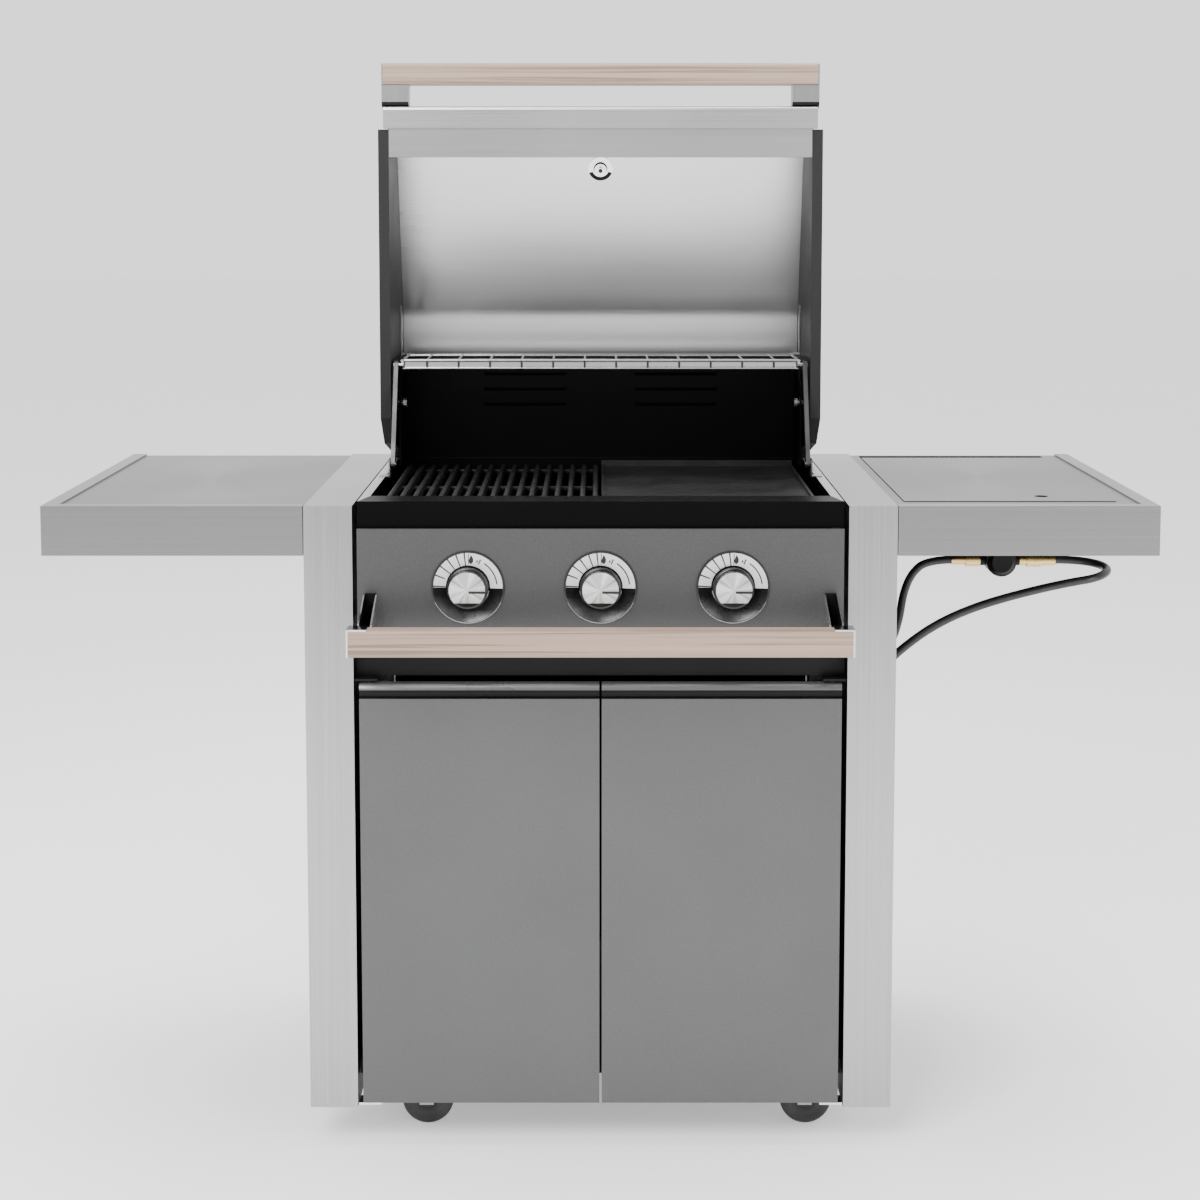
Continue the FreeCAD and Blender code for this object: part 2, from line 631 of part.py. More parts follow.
def stiffener():
    """The folded strip that closes the hood's front edge, with a plate at each end."""
    strip = block(("-cap_in + 0.5", "cap_in - 0.5"), ("81", "82.2"), ("band_foot", "hood_edge"))
    fold = block(("-cap_in + 0.5", "cap_in - 0.5"), ("81", "104"), ("band_foot", "band_foot + 1.2"))
    wide = block(("-hood_half + 0.5", "hood_half - 0.5"), ("78.5", "82.2"),
                 ("hood_edge - 1", "hood_edge + 5"))
    ends = [side_prism([("78.5", "1355"), ("78.5", "1384"), ("143", "1355.5")], *span)
            for span in (("-hood_half + 0.5", "-hood_half + 2.5"),
                         ("hood_half - 2.5", "hood_half - 0.5"))]
    return joined([strip, fold, wide] + ends)


def handle():
    """A wooden handle on two grey posts, each over a black spacer."""
    body, planes = design_body("hood_handle")
    corners = [("hood_face", "grip_low"), ("hood_face + grip_deep", "grip_low"),
               ("hood_face + grip_deep", "grip_top"), ("hood_face", "grip_top")]
    sketch = body_sketch(body, planes["YZ_Plane"], [corners])
    bar = body.newObject("PartDesign::Pad", "Bar")
    bar.Profile = sketch
    bar.Midplane = True
    bind(bar, {"Length": "2 * grip_half"})
    doc.recompute()
    long_edges = [f"Edge{number}" for number, edge in enumerate(bar.Shape.Edges, start=1)
                  if edge.Length > value("2 * grip_half") - 1]
    soft = body.newObject("PartDesign::Fillet", "Soft")
    soft.Base = (bar, long_edges)
    soft.Radius = 6
    doc.recompute()
    pieces.append(body)
    span = ("grip_post_in", "grip_post_in + grip_post_wide")
    post = side_prism([("78", "1391.5"), ("78", "grip_low"), ("107", "grip_low"),
                       ("107", "1379")], *span)
    spacer = side_prism([("78", "1387.5"), ("78", "1391.5"), ("107", "1379"),
                         ("107", "1375")], *span)
    plate = block(("grip_half", "grip_post_in + grip_post_wide"),
                  ("hood_face + 1", "hood_face + grip_deep - 1"), ("grip_low - 1", "grip_top - 1"))
    piece("handle_posts", pair(joined([post, plate])))
    piece("handle_spacers", pair(spacer))


# ---- warming rack --------------------------------------------------------------------------

def rack():
    """A rack of welded rods, carried by two flat arms and by the hood's end caps."""
    side = "arm_low_x - 5"
    long_rods = [rod("x", (f"-({side})", back, up), "wire_radius", f"2 * ({side})")
                 for back, up in (("rack_front", "rack_level"), ("rack_back", "rack_level"),
                                  ("rack_front", "rack_level - rack_drop"))]
    cross = []
    for step in range(12):
        across = f"-250 + {step} * 500 / 11"
        cross.append(rod("y", (across, "rack_front", "rack_level + 1"), "cross_radius",
                         "rack_back - rack_front"))
        cross.append(rod("z", (across, "rack_front - 1", "rack_level - rack_drop"),
                         "cross_radius", "rack_drop + 1"))
    ends = []
    foot = ("arm_foot_back + arm_run", "arm_foot_level + arm_rise")
    hang = ("hinge_back + arm_run", "hinge_level + arm_rise")
    for sign in (-1, 1):
        across = f"{sign} * ({side})"
        ends.append(rod("y", (across, foot[0], "rack_level"), "wire_radius",
                        f"{hang[0]} - ({foot[0]})"))
        ends.append(rod("z", (across, "rack_front", "rack_level - rack_drop"), "wire_radius",
                        "rack_drop"))
        hanger = sorted((f"{sign} * (cap_in - 3)", f"{sign} * (cap_in - 0.8)"), key=value)
        ends.append(block(hanger, (f"{hang[0]} - 5", f"{hang[0]} + 5"),
                          ("rack_level - wire_radius", f"{hang[1]} + 5")))
        ends.append(rod("z", (across, foot[0], foot[1]), "wire_radius",
                        f"rack_level - ({foot[1]})"))
        spans = ((side + " - 2", "arm_low_x + arm_thick + 1", foot, "pivot_radius"),
                 (side, "cap_in - 1", (hang[0], "rack_level"), "wire_radius"),
                 ("cap_in - 3", "cap_step + 1", hang, "pivot_radius"))
        for low, high, spot, radius in spans:
            start = low if sign > 0 else f"-({high})"
            ends.append(rod("x", (start, *spot), radius, f"{high} - ({low})"))
    strip = block((f"-({side})", side), ("rack_front", "rack_front + strip_thick"),
                  ("rack_level - rack_drop", "rack_level"))
    piece("warming_rack", joined(long_rods + cross + ends + [strip]))
    piece("rack_arms", pair(rack_arm()))
    plate = block(("arm_low_x + arm_thick + 0.5", "arm_low_x + arm_thick + 2.5"),
                  ("arm_foot_back - 10", "arm_foot_back + 10"),
                  ("rim_top", "arm_foot_level + 8"))
    pin = rod("x", ("arm_low_x - 1", "arm_foot_back", "arm_foot_level"), "pivot_radius",
              "arm_thick + 4")
    tab = block(("arm_low_x + arm_thick + 0.5", "rim_half - 4"),
                ("arm_foot_back - 10", "arm_foot_back + 10"), ("rim_top", "rim_top + 1.5"))
    piece("rack_brackets", pair(joined([plate, pin, tab])))


def rack_arm():
    """A flat bar with round ends and a bore at each."""
    low = "arm_low_x"
    foot = ("arm_foot_back", "arm_foot_level")
    tip = ("arm_foot_back + arm_run", "arm_foot_level + arm_rise")
    length = math.hypot(value("arm_run"), value("arm_rise"))
    out, up = value("arm_run") / length, value("arm_rise") / length
    outline = []
    for spot, sign in ((foot, 1), (foot, -1), (tip, -1), (tip, 1)):
        outline.append((f"{spot[0]} + {sign * -up} * arm_half",
                        f"{spot[1]} + {sign * out} * arm_half"))
    flat = side_prism(outline, low, "arm_low_x + arm_thick")
    rounds = [rod("x", (low, *spot), "arm_half", "arm_thick") for spot in (foot, tip)]
    bores = [rod("x", (low + " - 1", *spot), "pivot_radius + 0.05", "arm_thick + 2")
             for spot in (foot, tip)]
    return cut(joined([flat] + rounds), bores)


# ---- doors ---------------------------------------------------------------------------------

def doors():
    """Two folded doors with a rolled finger pull along the top, and their pivot pins."""
    for name, sign in (("left", -1), ("right", 1)):
        body, planes = design_body(f"door_{name}")
        edge, middle = f"{sign} * door_half", f"{sign} * door_gap"
        corners = [(edge, "door_low"), (middle, "door_low"),
                   (middle, "door_flat_top"), (edge, "door_flat_top")]
        sketch = body_sketch(body, planes["XZ_Plane"], [corners])
        bind(sketch, {"AttachmentOffset.Base.z": "-front"})
        slab = body.newObject("PartDesign::Pad", "Slab")
        slab.Profile = sketch
        slab.Reversed = True
        bind(slab, {"Length": "door_thick"})
        doc.recompute()
        low, high = sorted((edge, middle), key=value)
        hollow = block((f"{low} + 1.5", f"{high} - 1.5"),
                       ("front + 1.5", "front + door_thick + 1"),
                       ("door_low + 1.5", "door_flat_top - 1.5"))
        roll = rod("x", (low, "front + 11", "door_flat_top + 10"), "11", f"({high}) - ({low})")
        groove = rod("x", (f"{low} - 1", "front + 11", "door_flat_top + 10"), "9.5",
                     f"({high}) - ({low}) + 2")
        mouth = block((f"{low} - 1", f"{high} + 1"), ("front + 11", "front + 30"),
                      ("door_flat_top", "door_top + 5"))
        bosses = []
        for level in ("door_low + 1", "door_flat_top - 16"):
            bosses.append(block(tuple(sorted((f"{sign} * (pin_across - 7)",
                                              f"{sign} * (door_half - 1)"), key=value)),
                                ("front + 1", "front + 18"), (level, level + " + 15")))
        bores = rod("z", (f"{sign} * pin_across", "front + pin_deep", "door_low - 5"),
                    "pin_radius + pin_play", "600")
        shell = cut(body, [hollow])
        lip = cut(roll, [groove, mouth])
        piece(f"{name}_door", cut(joined([shell, lip] + bosses), [bores]))
    pins = []
    for sign in (-1, 1):
        across = f"{sign} * pin_across"
        span = sorted((f"{sign} * (pin_across - 12)", f"{sign} * (frame_in - 1)"), key=value)
        for low, rise, plate in (("door_low - 4", "16", "door_low - 4"),
                                 ("door_flat_top - 12", "36", "door_top + 1")):
            pin = rod("z", (across, "front + pin_deep", low), "pin_radius", rise)
            leaf = block(tuple(span), ("front + 3", "front + 27"), (plate, plate + " + 3"))
            pins.append(joined([pin, leaf]))
    piece("door_hinges", group(pins))


# ---- shelves and side burner ---------------------------------------------------------------

def shelf_shell():
    """The right shelf: a downward tray with a raised rim and a sunk plate."""
    span = ("frame_out + shelf_gap", "overall_half")
    shell = folded_tray(span, ("front", "back"), ("work_top - rail_tall", "work_top"),
                        "shelf_wall", False)
    sunk = block((span[0] + " - 1", "overall_half - rim_wide"),
                 ("front + rim_wide", "back + 1"), ("work_top - plate_drop", "work_top + 1"))
    return cut(shell, [sunk])


def shelves():
    """A plain shelf on the left; on the right one with a well for the side burner."""
    piece("shelf_left", mirrored(shelf_shell()))
    opening = block(("lid_in - 1", "lid_out + 1"), ("lid_front - 1", "lid_back + 20"),
                    ("work_top - 20", "work_top + 1"))
    piece("shelf_right", cut(shelf_shell(), [opening]))


def side_burner():
    """A pressed well, its burner, trivet and tap, and the flush lid over them."""
    floor = "work_top - 7 - well_deep"
    across = ("lid_in - 1", "lid_out + 1")
    deep = ("lid_front - 1", "lid_back + 20")
    well = folded_tray(across, deep, (floor, "work_top - 9"), "sheet_metal")
    centre = ("hob_across", "hob_back")
    feed = rod("z", (*centre, f"{floor} - 4"), "13", "20")
    spindle = rod("z", ("hob_across", "lid_front + 50", f"{floor} - 4"), "spindle_hole", "10")
    pin_low = "lid_in + 6"
    ears = [block((low, f"{low} + 3"), ("lid_back - 4", "lid_back + 19"),
                  (floor + " + 20", "work_top - 9.5")) for low in ("lid_in + 4", "lid_out - 7")]
    pins = [rod("x", (low, "lid_back", "work_top - 16"), "lid_pin_radius", "22")
            for low in ("lid_in + 5", "lid_out - 27")]
    piece("side_burner_well", cut(joined([well] + ears + pins), [feed, spindle]))
    head = rod("z", (*centre, f"{floor} + 12"), "34", "7")
    cap = cone("z", (*centre, f"{floor} + 19"), ("34", "28"), "4")
    neck = rod("z", (*centre, f"{floor} - 18"), "11", "32")
    piece("side_burner_head", joined([head, cap, neck]))
    ring = torus("z", (*centre, f"{floor} + 30"), "80", "3")
    legs = []
    for spin in (0, 90, 180, 270):
        bar = doc.addObject("Part::Box", "Foot")
        bar.Placement = FreeCAD.Placement(V(), FreeCAD.Rotation(V(0, 0, 1), spin + 45))
        bind(bar, {"Length": "62", "Width": "5", "Height": "6", "Placement.Base.x": "hob_across",
                   "Placement.Base.y": "hob_back", "Placement.Base.z": f"{floor} + 27"})
        out = FreeCAD.Rotation(V(0, 0, 1), spin + 45).multVec(V(40, -2.5, 0))
        bind(bar, {"Placement.Base.x": f"hob_across + ({out.x:.4f})",
                   "Placement.Base.y": f"hob_back + ({out.y:.4f})"})
        post = FreeCAD.Rotation(V(0, 0, 1), spin + 45).multVec(V(80, 0, 0))
        legs += [bar, rod("z", (f"hob_across + ({post.x:.4f})", f"hob_back + ({post.y:.4f})",
                                f"{floor} + sheet_metal"), "3", "28")]
    piece("side_burner_trivet", joined([ring] + legs))
    tap = rod("z", ("hob_across", "lid_front + 50", f"{floor} + 2.5"), "19", "18")
    stem = rod("z", ("hob_across", "lid_front + 50", f"{floor} - 16"), "spindle_radius", "30")
    piece("side_burner_knob", joined([tap, stem]))
    lid()


def lid():
    """The flush lid: a sheet with turned-down edges, a finger hole and two rear knuckles."""
    body, planes = design_body("side_burner_lid_plate")
    corners = [("lid_in", "lid_front"), ("lid_out", "lid_front"),
               ("lid_out", "lid_back - 8"), ("lid_in", "lid_back - 8")]
    hole = ("lid_out - 90", "lid_front + 44", "9")
    sketch = body_sketch(body, planes["XY_Plane"], [corners, hole])
    bind(sketch, {"AttachmentOffset.Base.z": "work_top - plate_drop + 1 - lid_thick / 2"})
    plate = body.newObject("PartDesign::Pad", "Plate")
    plate.Profile = sketch
    bind(plate, {"Length": "lid_thick / 2"})
    doc.recompute()
    under = block(("lid_in + 2", "lid_out - 2"), ("lid_front + 2", "lid_back - 10"),
                  ("work_top - 20", "work_top - plate_drop - 1"))
    rim = folded_tray(("lid_in", "lid_out"), ("lid_front", "lid_back - 8"),
                      ("work_top - plate_drop + 1 - lid_thick / 2",
                       "work_top - plate_drop + 1"), "tube_wall", False)
    grip = rod("z", (hole[0], hole[1], "work_top - 20"), hole[2], "40")
    knuckles = []
    for low in ("lid_in + 12", "lid_out - 24"):
        ear = block((low, f"{low} + 12"), ("lid_back - 14", "lid_back"),
                    ("work_top - 22", "work_top - plate_drop - 4"))
        barrel = rod("x", (low, "lid_back", "work_top - 16"), "6", "12")
        knuckles.append(joined([ear, barrel]))
    bores = rod("x", ("lid_in", "lid_back", "work_top - 16"), "lid_pin_radius + 0.05",
                "lid_out - lid_in")
    shell = cut(body, [under])
    piece("side_burner_lid", cut(joined([shell, cut(rim, [grip])] + knuckles), [bores]))


# ---- casters -------------------------------------------------------------------------------

def casters():
    """Four swivel casters: a plate on the trolley, a fork that swivels, a wheel on its axle."""
    for side, sign in (("left", -1), ("right", 1)):
        for end, spot in (("front", "caster_front"), ("rear", "caster_back")):
            across = f"{sign} * caster_across"
            piece(f"caster_fork_{end}_{side}", fork(across, spot))
            piece(f"caster_wheel_{end}_{side}", wheel(f"{across} + trail", spot))


def caster_plate(across, spot):
    """The fixed plate with the pin that the fork turns on."""
    plate = block((f"{across} - 28", f"{across} + 28"), (f"{spot} - 28", f"{spot} + 28"),
                  ("base_low - 3", "base_low"))
    pin = rod("z", (across, spot, "base_low - 10"), "caster_stem", "8")
    return joined([plate, pin])


def fork(across, spot):
    """A crown with two cheeks that trail behind the swivel pin."""
    crown = rod("z", (across, spot, "base_low - 13"), "20", "9.5")
    half = "wheel_wide / 2"
    roof = block((f"{across} - 8", f"{across} + trail + 8"),
                 (f"{spot} - {half} - 5", f"{spot} + {half} + 5"),
                 ("base_low - 15", "base_low - 12"))
    parts = [crown, roof]
    for low in (f"{spot} - {half} - 5", f"{spot} + {half} + 2"):
        parts.append(block((f"{across} + trail - 11", f"{across} + trail + 8"),
                           (low, f"{low} + 3"), ("wheel_radius - 6", "base_low - 12")))
    axle = rod("y", (f"{across} + trail", f"{spot} - {half} - 7", "wheel_radius"),
               "axle_radius", "wheel_wide + 14")
    bore = rod("z", (across, spot, "base_low - 20"), "caster_stem + 0.05", "30")
    return joined([cut(joined(parts), [bore]), axle])


def wheel(across, spot):
    """A black tyre on a plain hub, bored for the axle."""
    half = "wheel_wide / 2"
    tread = rod("y", (across, f"{spot} - {half} + 2", "wheel_radius"), "wheel_radius",
                "wheel_wide - 4")
    sides = [cone("y", (across, f"{spot} - {half}", "wheel_radius"),
                  ("wheel_radius - 3", "wheel_radius"), "2"),
             cone("y", (across, f"{spot} + {half} - 2", "wheel_radius"),
                  ("wheel_radius", "wheel_radius - 3"), "2")]
    hub = rod("y", (across, f"{spot} - {half} - 1.5", "wheel_radius"), "12", "wheel_wide + 3")
    bore = rod("y", (across, f"{spot} - 30", "wheel_radius"), "axle_radius + 0.05", "60")
    return cut(joined([tread, hub] + sides), [bore])


# ---- gas line ------------------------------------------------------------------------------

HOSE_IN = [(642, 26, 747), (680, 26, 747), (712, -16, 743), (688, -60, 737), (640, -64, 730),
           (576, -68, 716), (515, -72, 699), (462, -78, 677), (418, -84, 648),
           (385, -88, 618), (353.5, -88, 614)]
HOSE_OUT = [(496, 26, 747), (462, 26, 746), (440, 24, 728), (428, 20, 700), (422, 12, 665),
            (410, 4, 632), (384, 0, 603), (353.5, 0, 600)]


def hose(label, route):
    """A hose of straight runs and tangent arcs, as large as the runs allow."""
    spots = [V(*spot) for spot in route]
    radii = []
    for before, corner, after in zip(spots, spots[1:], spots[2:]):
        turn = math.pi - (before - corner).getAngle(after - corner)
        shorter = min((before - corner).Length, (after - corner).Length)
        radii.append(0.45 * shorter / math.tan(turn / 2))
    wire = rounded_wire(spots, radii)
    radius = value("hose_radius")
    section = Part.Wire([Part.Circle(spots[0], spots[1] - spots[0], radius).toShape()])
    tube = wire.makePipeShell([section], True, False)
    exact = math.pi * radius ** 2 * wire.Length
    print(label, "radii", [round(number) for number in radii],
          "length", round(wire.Length), "volume ratio", round(tube.Volume / exact, 4))
    piece(label, made(tube))


def gas_line():
    """The fittings and regulator hung below the right shelf, and their two hoses."""
    line = ("gas_back", "gas_level")
    tail = rod("x", ("496", *line), "7", "20")
    hexes = joined([tail, rod("x", ("516", *line), "9.5", "20")])
    case = rod("y", ("564", "gas_back - 19", "gas_level"), "21", "38")
    dome = cone("y", ("564", "gas_back - 25", "gas_level"), ("14", "20"), "6")
    ports = rod("x", ("536", *line), "8", "56")
    stalk = rod("z", ("564", "gas_back", "gas_level + 15"), "6", "27")
    neck = joined([rod("x", ("592", *line), "8", "10"), rod("x", ("602", *line), "10.5", "20")])
    ferrule = rod("x", ("622", *line), "8.5", "20")
    piece("hose_fittings", group([hexes, joined([neck, ferrule])]))
    plate = block(("538", "590"), ("gas_back - 12", "gas_back + 12"), ("789", "792"))
    tab = block(("538", "590"), ("gas_back + 9", "gas_back + 12"),
                ("789", "work_top - 7 - well_deep"))
    piece("regulator", joined([case, dome, ports, stalk, plate, tab]))
    hose("hose_supply", HOSE_IN)
    hose("hose_outlet", HOSE_OUT)


def drip_tray():
    """A grease tray that slides out to the rear on two rails under the firebox."""
    piece("drip_tray", folded_tray(("-tray_half", "tray_half"), ("tray_front", "tray_back"),
                                   ("tray_low", "tray_low + tray_tall"), "sheet_metal"))
    rail = side_prism([("tray_front", "tray_low - 3"), ("tray_back", "tray_low - 3"),
                       ("tray_back", "box_low"), ("tray_front", "box_low")],
                      "tray_half + 1", "tray_half + 3")
    ledge = block(("tray_half - 14", "tray_half + 2"), ("tray_front", "tray_back"),
                  ("tray_low - 3", "tray_low - 0.5"))
    piece("tray_rails", pair(joined([rail, ledge])))


def write_files():
    """Check every object and write each sub-part to its own file."""
    doc.recompute()
    failed = [item.Name for item in doc.Objects
              if {"Invalid", "Error"} & set(item.State)]
    shapes = {item.Label: item.Shape for item in pieces}
    broken = [label for label, shape in shapes.items() if shape.isNull() or not shape.isValid()]
    if failed or broken:
        raise RuntimeError(f"failed objects {failed}, broken shapes {broken}")
    os.makedirs("parts", exist_ok=True)
    for label, shape in shapes.items():
        shape.exportStep(os.path.join("parts", label + ".step"))
        print(f"{label:26s} solids {len(shape.Solids):3d} volume {shape.Volume:12.0f}")


fill_sheet()
trolley()
fascia()
bezels()
knobs()
front_bar()
firebox()
burners()
cooking_surfaces()
rear_wall()
hood()
rack()
doors()
shelves()
side_burner()
casters()
gas_line()
drip_tray()
write_files()
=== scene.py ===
import bmesh
import bpy
import math
from mathutils import Matrix, Vector


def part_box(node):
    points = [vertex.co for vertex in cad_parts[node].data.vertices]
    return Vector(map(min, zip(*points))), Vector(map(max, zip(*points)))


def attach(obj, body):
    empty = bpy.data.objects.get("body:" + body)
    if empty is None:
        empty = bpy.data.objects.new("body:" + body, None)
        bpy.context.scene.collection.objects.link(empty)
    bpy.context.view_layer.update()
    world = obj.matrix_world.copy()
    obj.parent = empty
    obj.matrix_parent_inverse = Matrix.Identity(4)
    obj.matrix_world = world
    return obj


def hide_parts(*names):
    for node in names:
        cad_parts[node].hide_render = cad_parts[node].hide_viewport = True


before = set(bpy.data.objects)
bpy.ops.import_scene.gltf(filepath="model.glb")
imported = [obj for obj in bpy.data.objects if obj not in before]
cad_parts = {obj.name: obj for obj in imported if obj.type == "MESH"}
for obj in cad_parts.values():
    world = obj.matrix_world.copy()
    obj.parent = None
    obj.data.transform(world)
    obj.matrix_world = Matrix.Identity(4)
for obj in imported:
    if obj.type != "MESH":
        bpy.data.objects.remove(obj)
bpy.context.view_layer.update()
scene = bpy.context.scene

# ---- camera ----------------------------------------------------------------------------------

CAMERA_PLACE = (-0.0007, -2.9603, 1.2608)
CAMERA_PITCH = 5.38
CAMERA_LENS = 64.06
CAMERA_SHIFT = -0.17


def add_camera():
    """The user's view: head on, from a little above the worktop."""
    data = bpy.data.cameras.new("camera")
    data.lens = CAMERA_LENS
    data.sensor_width = 36
    data.shift_y = CAMERA_SHIFT
    camera = bpy.data.objects.new("camera", data)
    camera.location = CAMERA_PLACE
    camera.rotation_euler = (math.radians(90 - CAMERA_PITCH), 0, 0)
    scene.collection.objects.link(camera)
    scene.camera = camera


# ---- materials -------------------------------------------------------------------------------

class Finish:
    """One procedural material: a Principled shader and the few nodes that feed it."""

    def __init__(self, name, colour, roughness, metallic=0.0, **sockets):
        self.material = bpy.data.materials.new(name)
        self.material.use_nodes = True
        self.tree = self.material.node_tree
        self.shader = self.tree.nodes["Principled BSDF"]
        self.colour = colour
        self.roughness = roughness
        self.set("Base Color", (*colour, 1))
        self.set("Roughness", roughness)
        self.set("Metallic", metallic)
        for socket, number in sockets.items():
            self.set(socket.replace("_", " "), number)
        self.place = self.tree.nodes.new("ShaderNodeTexCoord").outputs["Object"]
        self.height = None

    def set(self, socket, number):
        """Put a constant straight on the shader's own socket."""
        for item in self.shader.inputs:
            if item.name.lower() == socket.lower():
                item.default_value = number

    def noise(self, scale, stretch=(1, 1, 1), detail=4.0, rough=0.55):
        """Noise in the object's own space, squeezed or drawn out along each axis."""
        mapping = self.tree.nodes.new("ShaderNodeMapping")
        mapping.inputs["Scale"].default_value = stretch
        self.tree.links.new(self.place, mapping.inputs["Vector"])
        noise = self.tree.nodes.new("ShaderNodeTexNoise")
        noise.inputs["Scale"].default_value = scale
        noise.inputs["Detail"].default_value = detail
        noise.inputs["Roughness"].default_value = rough
        self.tree.links.new(mapping.outputs[0], noise.inputs["Vector"])
        return noise.outputs["Fac"]

    def voronoi(self, scale):
        """Small cells, for metal flakes."""
        cells = self.tree.nodes.new("ShaderNodeTexVoronoi")
        cells.inputs["Scale"].default_value = scale
        self.tree.links.new(self.place, cells.inputs["Vector"])
        return cells.outputs["Distance"]

    def ranged(self, source, low, high, start=0.3, end=0.7):
        """A value spread over a range."""
        spread = self.tree.nodes.new("ShaderNodeMapRange")
        for name, number in (("From Min", start), ("From Max", end), ("To Min", low),
                             ("To Max", high)):
            spread.inputs[name].default_value = number
        self.tree.links.new(source, spread.inputs["Value"])
        return spread.outputs["Result"]

    def blend(self, factor, first, second):
        """Two colours mixed by a value."""
        mix = self.tree.nodes.new("ShaderNodeMix")
        mix.data_type = "RGBA"
        self.tree.links.new(factor, mix.inputs["Factor"])
        for socket, colour in ((mix.inputs[6], first), (mix.inputs[7], second)):
            if isinstance(colour, tuple):
                socket.default_value = (*colour, 1)
            else:
                self.tree.links.new(colour, socket)
        return mix.outputs[2]

    def feed(self, socket, source):
        """Join an output to one of the shader's inputs."""
        self.tree.links.new(source, self.shader.inputs[socket])

    def bump(self, source, strength, distance):
        """Fine relief, added to any that is there already."""
        bump = self.tree.nodes.new("ShaderNodeBump")
        bump.inputs["Strength"].default_value = strength
        bump.inputs["Distance"].default_value = distance
        self.tree.links.new(source, bump.inputs["Height"])
        if self.height is not None:
            self.tree.links.new(self.height, bump.inputs["Normal"])
        self.height = bump.outputs["Normal"]
        self.feed("Normal", self.height)

    def shades(self, source, depth, start=0.3, end=0.7):
        """Vary the base colour by a fraction either way."""
        dark = tuple(channel * (1 - depth) for channel in self.colour)
        light = tuple(min(channel * (1 + depth), 1) for channel in self.colour)
        self.feed("Base Color", self.blend(self.ranged(source, 0, 1, start, end), dark, light))

    def rough(self, source, depth, start=0.3, end=0.7):
        """Vary the roughness either side of its value."""
        low, high = self.roughness - depth, self.roughness + depth
        self.feed("Roughness", self.ranged(source, low, high, start, end))


def brushed(name, colour, roughness, grain, depth=0.05, relief=0.012):
    """Brushed sheet metal: long fine scratches along one axis over faint broad cloudiness."""
    finish = Finish(name, colour, roughness, 1.0, anisotropic=0.4)
    scratches = finish.noise(60, grain, 6.0, 0.7)
    clouds = finish.noise(3.0, (1, 1, 1), 2.0)
    finish.shades(scratches, depth)
    mixed = finish.tree.nodes.new("ShaderNodeMath")
    mixed.operation = "MULTIPLY_ADD"
    mixed.inputs[1].default_value = 0.5
    finish.tree.links.new(scratches, mixed.inputs[0])
    finish.tree.links.new(finish.ranged(clouds, 0.1, 0.4), mixed.inputs[2])
    finish.rough(mixed.outputs[0], 0.06, 0.2, 0.8)
    finish.bump(scratches, relief, 0.0004)
    return finish.material


ORANGE_PEEL = 0.06


def coated(name, colour, roughness, flake=0.0, metallic=0.0, shine=0.5):
    """Powder coat or enamel: orange peel, a little cloudiness, and flakes where it has them."""
    finish = Finish(name, colour, roughness, metallic, specular_ior_level=shine)
    clouds = finish.noise(6.0, (1, 1, 1), 3.0)
    if flake:
        finish.shades(finish.voronoi(1400), flake, 0.1, 0.7)
    else:
        finish.shades(clouds, 0.08)
    finish.rough(clouds, 0.05)
    finish.bump(finish.noise(420, (1, 1, 1), 2.0), ORANGE_PEEL, 0.0003)
    return finish.material


def iron(name, colour, roughness):
    """Cast iron under matt enamel: a sandy surface with worn, slightly shinier patches."""
    finish = Finish(name, colour, roughness, 0.0, specular_ior_level=0.3)
    finish.shades(finish.noise(30), 0.35)
    finish.rough(finish.noise(14), 0.1)
    finish.bump(finish.noise(600, (1, 1, 1), 5.0), 0.35, 0.0006)
    return finish.material


def timber(name, pale, dark, grain):
    """Straight-grained wood, its growth rings drawn out along the bar, with fine pores."""
    finish = Finish(name, pale, 0.5, 0.0)
    rings = finish.noise(9.0, (grain[0], grain[1] * 5, grain[2] * 5), 6.0, 0.62)
    pores = finish.noise(90.0, (grain[0] * 0.35, grain[1] * 3, grain[2] * 3), 3.0, 0.6)
    broad = finish.noise(2.2, grain, 2.0)
    base = finish.blend(finish.ranged(rings, 0, 1, 0.38, 0.64), dark, pale)
    deep = tuple(channel * 0.72 for channel in dark)
    base = finish.blend(finish.ranged(pores, 1, 0, 0.36, 0.46), base, deep)
    warm = tuple(channel * shade for channel, shade in zip(pale, (1.02, 0.95, 0.9)))
    tint = finish.ranged(broad, 0, 0.35)
    finish.feed("Base Color", finish.blend(tint, base, warm))
    finish.rough(rings, 0.08)
    finish.bump(pores, 0.25, 0.0005)
    finish.bump(rings, 0.15, 0.0006)
    return finish.material


def plated(name, colour, roughness):
    """Chrome or zinc: near-mirror metal with light handling haze."""
    finish = Finish(name, colour, roughness, 1.0)
    haze = finish.noise(22.0, (1, 1, 1), 5.0)
    finish.rough(haze, roughness * 0.35)
    finish.shades(haze, 0.05)
    finish.bump(finish.noise(160), 0.03, 0.0003)
    return finish.material


